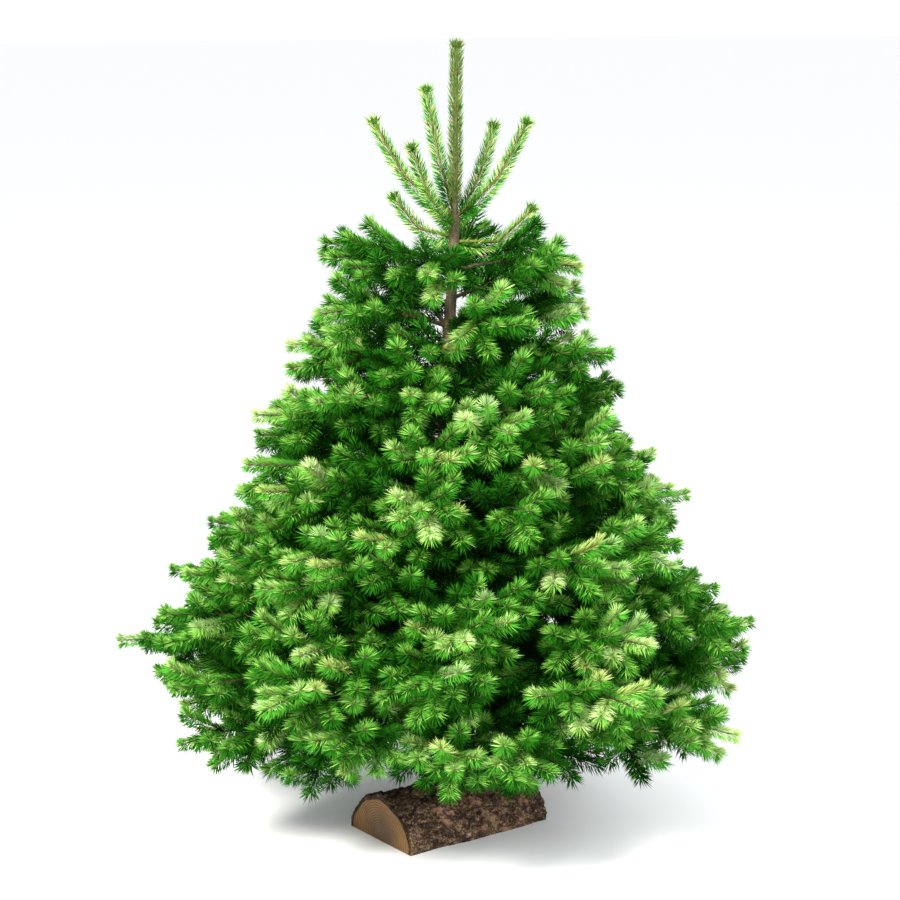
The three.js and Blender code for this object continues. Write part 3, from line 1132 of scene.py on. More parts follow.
@dataclass(frozen=True)
class LogWoodFinish:
    """Sawn wood with growth rings about a pith that lies just above the underside.

    pith is the pith's height in metres, squash how much wider than high the rings are, and ring
    the width of a year in metres.
    """

    pith: float = 0.010
    squash: float = 1.16
    ring: float = 0.0036
    early: Colour = (0.275, 0.140, 0.032)
    late: Colour = (0.070, 0.035, 0.012)
    heart: Colour = (0.125, 0.080, 0.038)

    def material(self) -> bpy.types.Material:
        """The material."""
        bench = NodeBench("log_wood")
        place = bench.coordinates()
        wobble = bench.noise(place, 26, 3, 0.5) - 0.5
        across = bench.along(place, "Y") * (1 / self.squash)
        high = bench.along(place, "Z") - self.pith
        away = (across * across + high * high) ** 0.5 + wobble * 0.004
        year = bench.node("ShaderNodeMath", {"operation": "FRACT"}, {0: away * (1 / self.ring)})
        late = bench.fade(year, 0.45, 0.92, 0.0, 1.0)
        fibres = bench.noise(bench.scaled(0.2, 1.0, 1.0), 1300, 3, 0.6)
        blotch = bench.noise(place, 60, 3, 0.6)
        base = bench.blend(bench.fade(away, 0.016, 0.044, 0.9, 0.0), self.early, self.heart)
        ringed = bench.blend(late, base, self.late)
        tone = bench.ramp(blotch * 0.6 + fibres * 0.4, ((0.3, (0.55, 0.5, 0.44)), (0.7, (1.0, 1.0, 1.0))))
        colour = bench.blend(1.0, ringed, tone, "MULTIPLY")
        bump = bench.bump(fibres + late * 0.4, 0.4, 0.0008)
        return bench.finish({"Base Color": colour, "Roughness": 0.78, "Normal": bump})


# ---------------------------------------------------------------- needles, twigs and buds


@dataclass(frozen=True)
class Tone:
    """A spray's colours: steps on the ladder of tints for its old and its young needles.

    cast is a tint that a share of the young ones take instead, cast_share at most.
    """

    old: int
    young: int
    cast: Tint | None = None
    cast_share: float = 0.75


@dataclass(frozen=True)
class NeedleCoat:
    """The needles round a shoot, in millimetres and degrees.

    Each needle is a narrow blade folded along its rib, ridge high. young is the length of the last
    year's growth, and old_density and young_density are needles for each millimetre of shoot before
    it and on it. root_lean and tip_lean are the needles' angles to the shoot at its two ends.
    parting draws them from the underside to the sides. tuft more of them close the tip, and standoff
    is how far from the shoot's middle their feet are.

    Needles lean forwards by CLOSING over the last CLOSING_LENGTH of a shoot, and by LAID on top of
    one that lies. Those in the tuft lean from TUFT_LEAN over TUFT_SWEEP. Over the first FOOT_LENGTH
    they grow to their full length, and up to TIP_LENGTH from the tip some are a step lighter.
    """

    length: float = 21.0
    width: float = 1.2
    ridge: float = 0.5
    young: float = 46.0
    old_density: float = 2.3
    young_density: float = 4.6
    root_lean: float = 64.0
    tip_lean: float = 56.0
    parting: float = 0.4
    tuft: int = 46
    standoff: float = 0.6

    TRIANGLES = np.array([[0, 3, 1], [0, 2, 3]])
    CLOSING, CLOSING_LENGTH = 14, 9
    LAID = 24
    TUFT_LEAN, TUFT_SWEEP = 12, 62
    FOOT_LENGTH, TIP_LENGTH = 22, 26
    FULL_PARTING = 0.4
    LEADER_REFERENCE = np.array([0.6, -0.8, 0.1])

    def _shape(
        self,
        feet: np.ndarray,
        aim: np.ndarray,
        upper: np.ndarray,
        length: np.ndarray,
        curl: np.ndarray,
    ) -> np.ndarray:
        """The four corners of each needle: its foot, its two sides and its tip.

        Args:
            feet: where each leaves its twig.
            aim: its direction.
            upper: the way its upper side looks, at right angles to aim.
            length: its length.
            curl: how far its tip is bent, as a vector.

        Returns:
            The corners, four to a needle.
        """
        across = np.cross(aim, upper) * (self.width / 2)
        middle = feet + aim * length[:, None] * 0.5 - upper * self.ridge
        tips = feet + aim * length[:, None] + curl
        return np.stack([feet, middle - across, middle + across, tips], 1).reshape(-1, 3)

    def _places(self, length: float, first: float, rng: np.random.Generator) -> np.ndarray:
        """Where needles leave a shoot, evenly but closer together on its young end."""
        young = min(self.young, length - first)
        old = length - first - young
        count = max(8, int(old * self.old_density + young * self.young_density))
        filled = np.cumsum([0.0, old * self.old_density, young * self.young_density])
        steps = (np.arange(count) + 0.5 + rng.uniform(-0.3, 0.3, count)) / count
        return np.interp(steps * filled[-1], filled, np.array([first, first + old, length]))

    def clothe(self, batch: Batch, shoot: Shoot, tone: Tone, rng: np.random.Generator) -> None:
        """Adds a shoot's needles to a batch.

        Args:
            batch: where they go.
            shoot: the shoot that carries them.
            tone: its colours.
            rng: chance, seeded by the caller.
        """
        line = shoot.line
        length = line.length
        open_tip = shoot.rank is not Rank.INNER
        places = self._places(length, 4.0 if open_tip else 0.0, rng)
        count, tuft = len(places), self.tuft if open_tip else 0
        places = np.concatenate([places, length - rng.random(tuft) * 2.5])
        total = count + tuft
        share = places / length
        axis = line.heading(share)
        upright = abs(axis[:, 2].mean()) > 0.8
        over, beside = sides_of(axis, self.LEADER_REFERENCE if upright else UP)
        turn = np.arange(total) * GOLDEN_ANGLE + rng.random() * 6.28 + rng.normal(0, 0.16, total)
        turn = turn % (2 * math.pi) - math.pi
        turn -= (0.0 if upright else self.parting) * np.sin(turn)
        to_tip = length - places
        lean = self.root_lean + (self.tip_lean - self.root_lean) * share + rng.normal(0, 4.5, total)
        lying = min(self.parting / self.FULL_PARTING, 1.0)
        closing = self.CLOSING * np.clip(1 - to_tip / self.CLOSING_LENGTH, 0, 1)
        lean -= closing + self.LAID * lying * np.clip(np.cos(turn), -0.2, 1)
        lean[count:] = self.TUFT_LEAN + self.TUFT_SWEEP * np.sqrt(rng.random(tuft))
        lean = np.radians(lean)[:, None]
        outward = over * np.cos(turn)[:, None] + beside * np.sin(turn)[:, None]
        aim = unit(axis * np.cos(lean) + outward * np.sin(lean))
        facing = axis * 0.8 + UP * 0.6 + rng.normal(0, 0.35, (total, 3))
        upper = unit(facing - aim * np.einsum("ij,ij->i", facing, aim)[:, None])
        sized = self.length * (1 - 0.12 * lying * np.clip(np.cos(turn), 0, 1))
        sized *= 1 + rng.normal(0, 0.07, total)
        sized *= 0.8 + 0.2 * np.clip(places / self.FOOT_LENGTH, 0, 1)
        sized[count:] *= 0.86
        curl = (axis * 1.3 + UP * 0.5) * (sized / self.length)[:, None]
        corners = self._shape(line.at(share) + outward * self.standoff, aim, upper, sized, curl)
        triangles = (np.arange(total)[:, None, None] * 4 + self.TRIANGLES[None]).reshape(-1, 3)
        old = to_tip > self.young + rng.normal(0, 5, total)
        slots = self._slots(tone, to_tip, old, np.cos(turn) * lying, rng)
        batch.add(corners, triangles, np.repeat(slots, len(self.TRIANGLES)))

    def _slots(
        self, tone: Tone, to_tip: np.ndarray, old: np.ndarray, height: np.ndarray, rng: np.random.Generator
    ) -> np.ndarray:
        """Each needle's material slot.

        Args:
            tone: the spray's colours.
            to_tip: how far each stands from the shoot's tip.
            old: which needles are on its older part.
            height: how far each stands to the spray's upper side, from -1 to 1.
            rng: chance.

        Returns:
            The slots.
        """
        # Painted shade: needles under a spray, where height is low, are a step darker.
        low = height < -0.3
        step = np.where(old, tone.old, tone.young) - low
        lucky = rng.random(len(old))
        step = step + ((to_tip < self.TIP_LENGTH) & ~low & (lucky < 0.4) & (tone.young > 1))
        step = step - (~old & (lucky > 0.76)) - (~old & (lucky > 0.93)) + (old & (lucky < 0.12))
        step = np.clip(step, 0, len(PAINTED_SHADE_AND_AGE_LADDER) - 1)
        slots = np.array([TINTS.index(tint) for tint in PAINTED_SHADE_AND_AGE_LADDER])[step]
        if tone.cast is None:
            return slots
        return np.where(old | low | (lucky > tone.cast_share), slots, TINTS.index(tone.cast))


@dataclass(frozen=True)
class TwigBark:
    """The thin twigs under the needles."""

    sides: int = 4
    steps: int = 2

    def wrap(self, batch: Batch, line: Line, foot: float, tip: float, slot: int) -> None:
        """Adds one tapering twig, closed at both ends.

        Args:
            batch: where it goes.
            line: its middle.
            foot: its radius at the foot.
            tip: its radius at the tip.
            slot: its material slot.
        """
        shares = np.linspace(0, 1, self.steps + 1)
        centres, heads = line.at(shares), line.heading(shares)
        over, beside = sides_of(heads, reference_for(heads[0]))
        angles = np.arange(self.sides) * 2 * math.pi / self.sides
        radii = (foot + (tip - foot) * shares)[:, None, None]
        rings = over[:, None] * np.cos(angles)[None, :, None]
        rings = rings + beside[:, None] * np.sin(angles)[None, :, None]
        vertices = (centres[:, None] + rings * radii).reshape(-1, 3)
        vertices = np.vstack([vertices, centres[:1], centres[-1:] + heads[-1:] * tip])
        low, high = len(vertices) - 2, len(vertices) - 1
        triangles = []
        for ring in range(self.steps):
            for i in range(self.sides):
                j = (i + 1) % self.sides
                a, b = ring * self.sides + i, ring * self.sides + j
                c, d = a + self.sides, b + self.sides
                triangles += [(a, b, d), (a, d, c)]
        last = self.steps * self.sides
        for i in range(self.sides):
            j = (i + 1) % self.sides
            triangles += [(low, j, i), (high, last + i, last + j)]
        batch.add(vertices, np.array(triangles), np.full(len(triangles), slot))


@dataclass(frozen=True)
class BudSet:
    """The buds at a shoot's tip: one ahead and a few leaning out, in millimetres and degrees."""

    length: float = 4.6
    radius: float = 1.6
    lean: float = 50.0

    CORNERS = np.array([[1, 0], [0, 1], [-1, 0], [0, -1]], float)
    TRIANGLES = np.array(
        [[0, 1, 4], [1, 2, 4], [2, 3, 4], [3, 0, 4], [1, 0, 5], [2, 1, 5], [3, 2, 5], [0, 3, 5]]
    )

    def crown(
        self,
        batch: Batch,
        place: np.ndarray,
        heading: np.ndarray,
        around: int,
        size: float = 1.0,
        slots: tuple[int, int] = (0, 1),
    ) -> None:
        """Adds the buds at one tip.

        Args:
            batch: where they go.
            place: the tip.
            heading: the shoot's direction there.
            around: how many lean out round the middle one.
            size: how large they are, as a share of the usual.
            slots: the material slots of the middle one and of those around it.
        """
        over, beside = sides_of(heading, reference_for(heading))
        aims = [heading]
        for i in range(around):
            turn = 2 * math.pi * i / max(around, 1) + math.pi / 2
            lean = math.radians(self.lean)
            outward = over * math.cos(turn) + beside * math.sin(turn)
            aims.append(heading * math.cos(lean) + outward * math.sin(lean))
        radius, length = self.radius * size, self.length * size
        for number, aim in enumerate(aims):
            wide = unit(np.cross(aim, over + beside * 0.37))
            deep = np.cross(aim, wide)
            middle = place + aim * length * 0.35
            ring = middle + radius * (self.CORNERS[:, :1] * wide + self.CORNERS[:, 1:] * deep)
            ends = np.stack([middle + aim * length * 0.75, middle - aim * length * 0.5])
            own = np.full(len(self.TRIANGLES), slots[min(number, 1)])
            batch.add(np.vstack([ring, ends]), self.TRIANGLES, own)


# ---------------------------------------------------------------- foliage


TWIG_FINISHES = (
    PlainFinish("twig_young", (0.180, 0.150, 0.030), 0.6, 0.2),
    PlainFinish("twig_old", (0.030, 0.030, 0.009), 0.75, 0.1),
    # twig_shaded is painted shade, for the twigs of dark sprays.
    PlainFinish("twig_shaded", (0.012, 0.016, 0.004), 0.8, 0.0),
)
BUD_FINISHES = (
    PlainFinish("bud_tip", (0.24, 0.135, 0.036), 0.5, 0.2),
    PlainFinish("bud_side", (0.13, 0.095, 0.028), 0.5, 0.2),
    PlainFinish("bud_green", (0.050, 0.085, 0.014), 0.5, 0.2),
    # bud_shaded is painted shade, for the buds of dark sprays.
    PlainFinish("bud_shaded", (0.035, 0.045, 0.010), 0.6, 0.1),
)


@dataclass
class Foliage:
    """Clothes a grown crown: needles by tier, twigs and buds.

    outer is the coat of well-lit sprays, shaded that of dark ones, and inner that of dark ones
    nearer than inner_share of the crown's reach. bough is for the main boughs, upright for the
    shoots round the leader and leader for the leader itself. tones holds each shoot's colours.
    """

    crown: Crown
    outer: NeedleCoat = NeedleCoat()
    bough: NeedleCoat = NeedleCoat(length=16.5, old_density=3.2, standoff=1.5)
    shaded: NeedleCoat = NeedleCoat(length=21, width=1.7, old_density=1.6, young_density=2.6, tuft=20)
    inner: NeedleCoat = NeedleCoat(length=27, width=2.6, old_density=1.3, young_density=1.3, tuft=14)
    upright: NeedleCoat = NeedleCoat(
        length=16.5, width=1.05, young=125, old_density=4.6, young_density=3.5, root_lean=68,
        tip_lean=32, parting=0, tuft=30, standoff=1.4,
    )
    leader: NeedleCoat = NeedleCoat(
        length=14.5, width=1.15, young=300, young_density=3.8, root_lean=42, tip_lean=30,
        parting=0, tuft=26, standoff=3.2,
    )
    twigs: TwigBark = TwigBark()
    fine_twigs: TwigBark = TwigBark(sides=3, steps=1)
    buds: BudSet = BudSet()
    inner_share: float = 0.56
    rng: np.random.Generator = field(default_factory=lambda: np.random.default_rng(2024))
    tones: dict[int, Tone] = field(default_factory=dict)

    # A spray's lightness on the ladder of tints: from DARKEST at the trunk, by BRIGHTENING more at
    # the crown's outside, with CHANCE of spread. From LIT of the way out it isn't dark. The darkening
    # towards the trunk is partly painted shade inside the crown and partly the older needles' own green.
    DARKEST, BRIGHTENING, CHANCE, LIT = 0.25, 3.1, 0.8, 0.8
    # The shares of light sprays that are grey-green, and grey-green or yellow-green.
    SILVERED, TINGED = 0.12, 0.22

    def _tone(self, shoot: Shoot) -> Tone:
        """A shoot's colours, by how far out its tip is: darker towards the trunk, partly as painted shade.
        """
        out = self._out(shoot)
        if shoot.rank is Rank.INNER:
            return Tone(0, 0)
        light = self.DARKEST + self.BRIGHTENING * min(out, 1.02) ** 1.6
        young = int(np.clip(light + self.rng.normal(0, self.CHANCE), 0 if out < self.LIT else 2, 4))
        old = max(young - 1 - (self.rng.random() < 0.65), 0)
        chance = self.rng.random()
        if young < 3 or chance >= self.TINGED:
            return Tone(old, young)
        return Tone(old, young, Tint.SILVER if chance < self.SILVERED else Tint.YELLOW)

    def _out(self, shoot: Shoot) -> float:
        """How far out a shoot's tip is, as a share of the crown's reach there."""
        return math.hypot(shoot.end[0], shoot.end[1]) / self.crown.reach_at(shoot.end[2])

    def dress(self) -> None:
        """Makes every piece of foliage and says which solids it stands for."""
        shoots = self.crown.shoots
        self.tones = {id(shoot): self._tone(shoot) for shoot in shoots}
        for rank in Rank:
            own = [shoot.line.length for shoot in shoots if shoot.rank is rank]
            LOG.info("%s: %d shoots, %.1f m", rank.name, len(own), sum(own) * MM)
        materials = [tint.value.material() for tint in TINTS]
        wood = [finish.material() for finish in TWIG_FINISHES]
        bud_finish = [finish.material() for finish in BUD_FINISHES]
        twigs, buds = Batch(), Batch()
        nodes = []
        for tier in TIERS:
            own = [shoot for shoot in shoots if self.crown.boughs[shoot.bough].tier is tier]
            names = [f"frond_{tier.name}_{i + 1}" for i in range(tier.boughs)]
            nodes += names
            self._dress_tier(tier.name, own, names, materials)
            for shoot in own:
                self._dress_wood(shoot, twigs, buds)
        self._dress_top(materials, twigs, buds)
        nodes += TOP_NODES
        for name, batch, finish in (("twigs", twigs, wood), ("buds", buds, bud_finish)):
            hand_over(batch.piece(name, finish, smooth=name == "twigs"), nodes)

    def _dress_tier(
        self, name: str, shoots: list[Shoot], nodes: list[str], materials: list[bpy.types.Material]
    ) -> None:
        """Makes a tier's needles, in as many pieces as their number needs.

        Args:
            name: the tier's name.
            shoots: its shoots.
            nodes: the solids that the needles stand for.
            materials: the needles' slots.
        """
        batches = [Batch()]
        for shoot in sorted(shoots, key=lambda s: s.bough):
            if batches[-1].faces > MOST_TRIANGLES:
                batches.append(Batch())
            tone = self.tones[id(shoot)]
            coat = self.bough if shoot.rank is Rank.LEADER else self.outer
            if shoot.rank is Rank.INNER or (self._out(shoot) < self.inner_share and tone.young < 2):
                coat = self.inner
            elif tone.young < 2 and shoot.rank is not Rank.LEADER:
                coat = self.shaded
            coat.clothe(batches[-1], shoot, tone, self.rng)
        for i, batch in enumerate(batches):
            piece = batch.piece(f"needles_{name}" + ("" if i == 0 else f"_{i + 1}"), materials)
            hand_over(piece, nodes)

    def _dress_wood(self, shoot: Shoot, twigs: Batch, buds: Batch) -> None:
        """Adds a shoot's twig and its buds, which an inner stretch of bough has none of."""
        if shoot.rank is Rank.INNER:
            return
        length = shoot.line.length
        young = self.tones[id(shoot)].young
        # Twigs of dark sprays take twig_shaded and those of middle sprays twig_old, as painted shade;
        # otherwise young or old by length.
        age_and_shade = 2 if young < 2 else int(length > 90 or young < 3)
        if shoot.rank is Rank.FINE:
            self.fine_twigs.wrap(twigs, shoot.line, 0.9 + length * 0.006, 0.8, age_and_shade)
        elif shoot.rank is not Rank.LEADER:
            self.twigs.wrap(twigs, shoot.line, 0.9 + length * 0.009, 0.85, age_and_shade)
        around = 3 if young > 1 and self._out(shoot) > 0.7 else 0
        # Buds are a step darker on darker sprays, as painted shade: orange-brown on light ones, browner and
        # green on middle ones, near-black bud_shaded on dark ones.
        slots = (0, 1) if young > 2 else (1, 2) if young == 2 else (3, 3)
        self.buds.crown(buds, shoot.end, shoot.line.heading(1.0), around, 0.8, slots)

    def _dress_top(self, materials: list[bpy.types.Material], twigs: Batch, buds: Batch) -> None:
        """Clothes the upright shoots and the leader."""
        trunk = self.crown.trunk
        batch = Batch()
        for candle in CANDLES:
            turn = trunk.turn + candle.turn
            line = self.crown.bough_line(candle.height, turn, candle.reach, candle.rise, CANDLE_SWEEP)
            shoot = Shoot(line.stretch(0.03, 0.985, 14), 0, Rank.SIDE)
            self.upright.clothe(batch, shoot, Tone(1, 2, Tint.YELLOW, 0.3), self.rng)
            self.twigs.wrap(twigs, line.stretch(0, 0.985, 12), 2.6, 1.8, 0)
            self.buds.crown(buds, shoot.end, shoot.line.heading(1.0), 6, 2.3, (2, 2))
        shoot = Shoot(trunk.line(trunk.leader_height + 10, trunk.height - 10, 12), 0, Rank.SIDE)
        self.leader.clothe(batch, shoot, Tone(2, 2, Tint.OLIVE), self.rng)
        self.buds.crown(buds, trunk.centre(trunk.height - 11), UP, 6, 2.5, (2, 2))
        for height in (trunk.height - 50, trunk.height - 98):
            self.buds.crown(buds, trunk.centre(height), UP, 4, 2.0, (2, 1))
        hand_over(batch.piece("needles_top", materials), TOP_NODES)


# ---------------------------------------------------------------- trunk and boughs


@dataclass(frozen=True)
class BarkRelief:
    """The relief of young bark, in millimetres: ridges, small scars and swollen nodes.

    nodes are the heights at which the bark stands out by collar more, over about collar_half.
    """

    ridge: float = 0.45
    scar: float = 0.30
    collar: float = 2.0
    collar_half: float = 9.0
    nodes: tuple[float, ...] = ()

    def height(self, place: np.ndarray, outward: np.ndarray) -> float:
        """How far the bark stands out at a place.

        Args:
            place: the middle of the limb there.
            outward: the way out to the bark.

        Returns:
            The height.
        """
        at = Vector(outward) * 2.2 + Vector(place) / 26
        fine = Vector(outward) * 7.0 + Vector(place) / 6
        raised = self.ridge * noise.noise(at) + self.scar * noise.noise(fine)
        swells = (math.exp(-(((place[2] - node) / self.collar_half) ** 2)) for node in self.nodes)
        return raised + sum(self.collar * swell for swell in swells)


@dataclass(frozen=True)
class Limb:
    """A round limb along a line, ringed closely enough to hold its bark's relief."""

    sides: int
    ring_step: float
    relief: BarkRelief

    def build(self, work: bmesh.types.BMesh, line: Line, radius_at: Callable[[float], float]) -> None:
        """Extrudes the limb ring by ring and closes both ends.

        Args:
            work: the mesh work that it is added to.
            line: its middle.
            radius_at: its radius at a share of its length.
        """
        rings = max(4, int(line.length / self.ring_step))
        made = bmesh.ops.create_circle(work, cap_ends=False, segments=self.sides, radius=1.0)
        ring = made["verts"]
        self._set_ring(ring, line, 0.0, radius_at(0.0))
        edges = list(dict.fromkeys(edge for vert in ring for edge in vert.link_edges))
        ends = [edges]
        for i in range(1, rings + 1):
            grown = bmesh.ops.extrude_edge_only(work, edges=edges)["geom"]
            ring = [item for item in grown if isinstance(item, bmesh.types.BMVert)]
            edges = [item for item in grown if isinstance(item, bmesh.types.BMEdge)]
            self._set_ring(ring, line, i / rings, radius_at(i / rings))
        ends.append(edges)
        for loop in ends:
            bmesh.ops.holes_fill(work, edges=loop, sides=0)

    def _set_ring(self, ring: list[bmesh.types.BMVert], line: Line, share: float, radius: float) -> None:
        """Puts one ring round the line, with the bark's relief."""
        centre, heading = line.at(share), line.heading(share)
        over, beside = sides_of(heading, reference_for(heading, 0.8))
        for i, vert in enumerate(ring):
            angle = 2 * math.pi * i / len(ring)
            outward = over * math.cos(angle) + beside * math.sin(angle)
            reach = radius + self.relief.height(centre, outward) * min(1.0, radius / 6)
            vert.co = Vector(centre + outward * reach)


@dataclass
class Wood:
    """The trunk from its cut foot to the top of the leader, and every bough's wood.

    bough_tip is a bough's radius at its tip in millimetres, and taper bends the way to it.
    """

    crown: Crown
    bough_tip: float = 1.1
    taper: float = 0.85

    def dress(self) -> None:
        """Makes the trunk and the boughs."""
        trunk = self.crown.trunk
        nodes = tuple(tier.height for tier in TIERS) + (trunk.leader_height - 8,)
        limb = Limb(sides=30, ring_step=4.5, relief=BarkRelief(nodes=nodes))
        work = bmesh.new()
        line = trunk.line(trunk.foot, trunk.height - 6, 60)
        limb.build(work, line, lambda share: trunk.radius(float(line.at(share)[2])))
        finish = TrunkBarkFinish(
            "trunk_bark", (0.016, 0.013, 0.006), (0.060, 0.047, 0.020), (0.165, 0.125, 0.058)
        )
        hand_over(piece_from("trunk_wood", work, finish.material()), ["trunk"])
        work = bmesh.new()
        limb = Limb(sides=9, ring_step=11, relief=BarkRelief(ridge=0.4, scar=0.25))
        for bough in self.crown.boughs:
            limb.build(
                work,
                bough.line,
                lambda share, foot=bough.radius: mix(foot, self.bough_tip, share**self.taper),
            )
        finish = TrunkBarkFinish(
            "bough_bark", (0.020, 0.016, 0.006), (0.048, 0.036, 0.013), (0.095, 0.072, 0.030)
        )
        jointed = [f"bough_{b.name}" for b in self.crown.boughs if b.tier.jointed and not b.weak]
        hand_over(piece_from("bough_wood", work, finish.material()), jointed)


# ---------------------------------------------------------------- the half log


@dataclass(frozen=True)
class HalfLog:
    """The half log that the trunk stands in, in millimetres.

    bark is the bark's thickness and gap its distance from the wood. cells_along and cells_round say
    how fine its mesh is, and its plates are plate_long along the log and plate_wide round it. seed
    fixes the noise that bends the plates, which starts anew with each session otherwise.
    """

    length: float = 250.0
    half_width: float = 77.0
    height: float = 67.0
    bark: float = 8.0
    gap: float = 0.3
    cells_along: int = 176
    cells_round: int = 132
    plate_long: float = 17.0
    plate_wide: float = 8.5
    seed: int = 7

    def swell(self, x: float) -> float:
        """How much the log swells or narrows along its length."""
        return 1 + 0.022 * math.sin(x / 33 + 1) - 0.012 * math.sin(x / 15)

    def arch(self, x: float, angle: float, depth: float) -> Vector:
        """A place on the log's round side, a depth under the bark's outside."""
        lump = 1 + 0.018 * math.sin(5 * angle + 0.8) + 0.012 * math.sin(9 * angle)
        across = (self.half_width - depth) * lump * math.cos(angle) * self.swell(x)
        high = (self.height - depth) * lump * math.sin(angle) * self.swell(x)
        return Vector((x, across, max(high, 0.0)))

    def plates(self, x: float, angle: float) -> tuple[float, float]:
        """The bark's relief at a place.

        Args:
            x: along the log.
            angle: round it.

        Returns:
            How far it stands out in millimetres, and a value from 0 in a crack to 1 on a plate that the
            finish turns into dark cracks, partly painted shade.
        """
        base = self.arch(x, angle, 0)
        warp = noise.noise_vector(base / 12) * 0.9 + noise.noise_vector(base / 4) * 0.35
        at = Vector((base.x / self.plate_long, base.y / self.plate_wide, base.z / self.plate_wide)) + warp
        near, places = noise.voronoi(at)
        edge = min(1.0, max(0.0, (near[1] - near[0]) / 0.22))
        plate = edge * edge * (3 - 2 * edge)
        own = noise.noise(places[0] * 3.7)
        small = noise.noise(base / 1.9)
        broad = noise.noise(base / 26)
        furrow = 1 - min(1.0, abs(noise.noise(base / 21 + warp * 0.6)) / 0.10)
        tilt = (at - places[0]).x * 1.3
        raised = (0.6 + 0.8 * own + tilt) * plate * 2.2 + small * 0.9 + broad * 2.4 - 3.4 * furrow - 1.2
        shade = plate * (0.55 + 0.3 * own + 0.35 * small) * (1 - 0.85 * furrow) + 0.15
        return raised, min(1.0, max(0.0, shade))

    def _bark_work(self) -> tuple[bmesh.types.BMesh, list[float]]:
        """The bark as a closed shell, and each corner's relief."""
        noise.seed_set(self.seed)
        work = bmesh.new()
        bmesh.ops.create_grid(work, x_segments=self.cells_along, y_segments=self.cells_round, size=1.0)
        outer = bmesh.ops.extrude_face_region(work, geom=work.faces[:], use_keep_orig=True)["geom"]
        shell = {item for item in outer if isinstance(item, bmesh.types.BMVert)}
        relief = []
        for vert in work.verts:
            end = abs(vert.co.x) > 0.999
            x = vert.co.x * self.length / 2
            angle = (1 + vert.co.y) / 2 * math.pi
            if vert in shell:
                raised, height = self.plates(x, angle)
                chip = noise.noise(Vector((x / 40, angle * 9, 2.0))) * 1.6 if end else 0.0
                vert.co = self.arch(x - math.copysign(abs(chip), x), angle, 0)
                slope = Vector((0, vert.co.y / self.half_width**2, vert.co.z / self.height**2))
                low = min(1.0, vert.co.z / 5)
                vert.co += slope.normalized() * raised * (0.35 + 0.65 * low)
                vert.co.z = max(vert.co.z, 0.0) if low > 0 else 0.0
                relief.append(0.15 if end else height)
            else:
                vert.co = self.arch(x, angle, self.bark)
                relief.append(0.1)
        return work, relief

    def dress(self) -> None:
        """Makes the log's bark and its sawn wood."""
        self._dress_bark()
        self._dress_wood()

    def _dress_bark(self) -> None:
        """Makes the bark, with its relief told to its finish."""
        work, relief = self._bark_work()
        piece = piece_from("log_bark_relief", work, LogBarkFinish().material())
        values = piece.data.attributes.new("relief", "FLOAT", "POINT")
        values.data.foreach_set("value", np.array(relief, np.float32))
        hand_over(piece, ["log_bark"])

    def _dress_wood(self) -> None:
        """Makes the sawn wood, as a half round drawn out along the log."""
        work = bmesh.new()
        points, steps = 64, 24
        rim = []
        for i in range(points + 1):
            place = self.arch(0, math.pi * i / points, self.bark + self.gap)
            rim.append(work.verts.new((-self.length / 2, place.y, place.z)))
        face = work.faces.new(rim)
        for _ in range(steps):
            grown = bmesh.ops.extrude_face_region(work, geom=[face])["geom"]
            face = next(item for item in grown if isinstance(item, bmesh.types.BMFace))
            bmesh.ops.translate(work, vec=(self.length / steps, 0, 0), verts=face.verts)
        for vert in work.verts:
            vert.co.y *= self.swell(vert.co.x)
            vert.co.z *= self.swell(vert.co.x)
        bmesh.ops.holes_fill(work, edges=[edge for edge in work.edges if edge.is_boundary], sides=0)
        piece = piece_from("log_sawn_wood", work, LogWoodFinish().material(), smooth=False)
        hand_over(piece, ["log_wood"])


# ---------------------------------------------------------------- studio


@dataclass(frozen=True)
class Lamp:
    """A square soft light: its power in watts, its side in metres, its place and its colour.

    The place is told from behind the camera: to its right, away from it, and up.
    """

    name: str
    power: float
    size: float
    place: tuple[float, float, float]
    colour: Colour


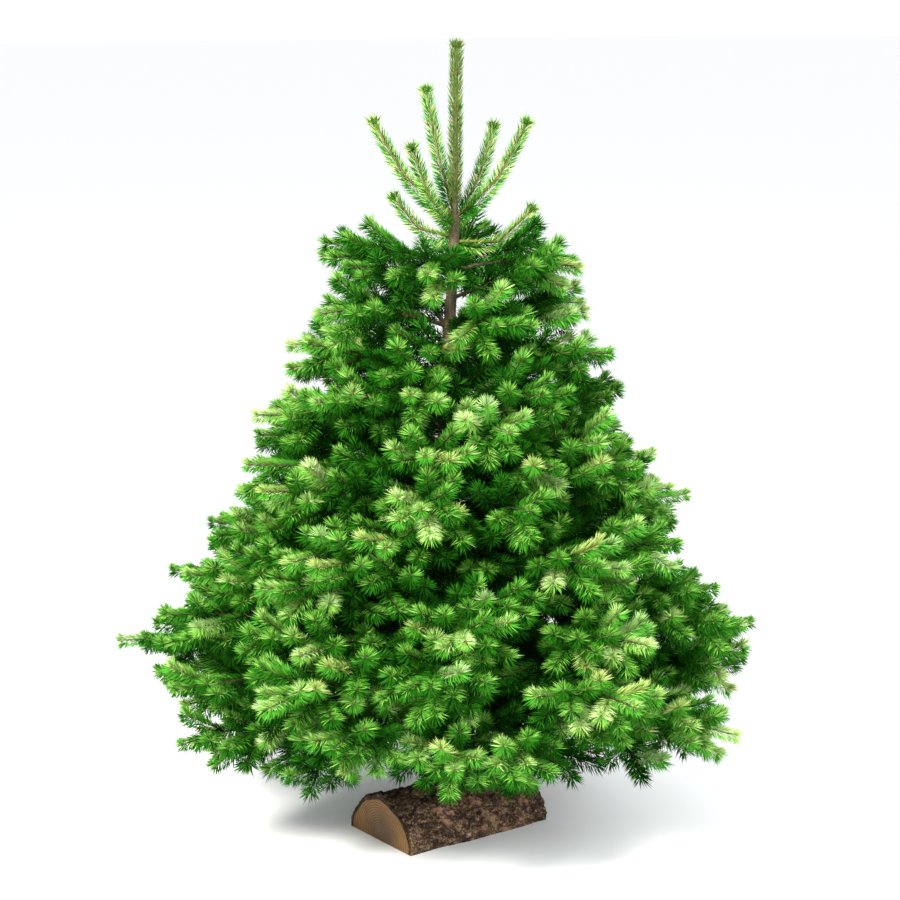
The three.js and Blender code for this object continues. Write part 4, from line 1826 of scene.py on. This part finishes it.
@dataclass(frozen=True)
class Studio:
    """A pale floor, soft light and the camera.

    Sizes are in metres and angles in degrees. centre is the height that the lamps look at.
    """

    lamps: tuple[Lamp, ...] = (
        Lamp("key", 285, 1.1, (-1.5, -2.4, 2.6), (1.0, 0.98, 0.93)),
        Lamp("fill", 85, 2.0, (2.2, -1.6, 1.4), (0.96, 0.98, 1.0)),
    )
    centre: float = 0.5
    floor: float = 60.0
    sky: float = 1.05
    facing: float = -36.2
    distance: float = 3.2
    eye: float = 1.2
    pitch: float = 11.2
    focal: float = 90.5

    def _place(self, sideways: float, away: float, height: float) -> Vector:
        """A point given from where the camera stands: to its right, away from it, and up."""
        turn = math.radians(self.facing)
        right = Vector((math.cos(turn), math.sin(turn), 0))
        ahead = Vector((-math.sin(turn), math.cos(turn), 0))
        return right * sideways + ahead * away + Vector((0, 0, height))

    def _hang(self, lamp: Lamp) -> None:
        """Hangs a lamp that looks at the crown."""
        light = bpy.data.lights.new(lamp.name, "AREA")
        light.energy = lamp.power
        light.size = lamp.size
        light.color = lamp.colour
        holder = bpy.data.objects.new(lamp.name, light)
        holder.location = place = self._place(*lamp.place)
        aim = Vector((0, 0, self.centre)) - place
        holder.rotation_euler = aim.to_track_quat("-Z", "Y").to_euler()
        bpy.context.scene.collection.objects.link(holder)

    def build(self) -> None:
        """Sets up floor, world, lights and camera."""
        work = bmesh.new()
        bmesh.ops.create_grid(work, x_segments=1, y_segments=1, size=self.floor / MM)
        pale = PlainFinish("floor_white", (0.95, 0.95, 0.95), 0.9, 0.1)
        floor = piece_from("floor", work, pale.material())
        scene = bpy.context.scene
        world = bpy.data.worlds.new("studio")
        world.use_nodes = True
        background = world.node_tree.nodes["Background"]
        background.inputs["Color"].default_value = (0.97, 0.98, 1.0, 1.0)
        background.inputs["Strength"].default_value = self.sky
        scene.world = world
        for lamp in self.lamps:
            self._hang(lamp)
        scene.view_settings.view_transform = "Standard"
        scene.view_settings.look = "None"
        lens = bpy.data.cameras.new("camera")
        lens.lens = self.focal
        lens.sensor_width = 36
        camera = bpy.data.objects.new("camera", lens)
        camera.location = self._place(0, -self.distance, self.eye)
        camera.rotation_euler = (math.radians(90 - self.pitch), 0, math.radians(self.facing))
        scene.collection.objects.link(camera)
        scene.camera = camera


def main() -> None:
    """Builds every sub-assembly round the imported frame."""
    logging.basicConfig(level=logging.INFO, format="%(name)s: %(message)s")
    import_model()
    Studio().build()
    HalfLog().dress()
    crown = Crown()
    crown.grow()
    Wood(crown).dress()
    Foliage(crown).dress()


if __name__ == "__main__":
    main()
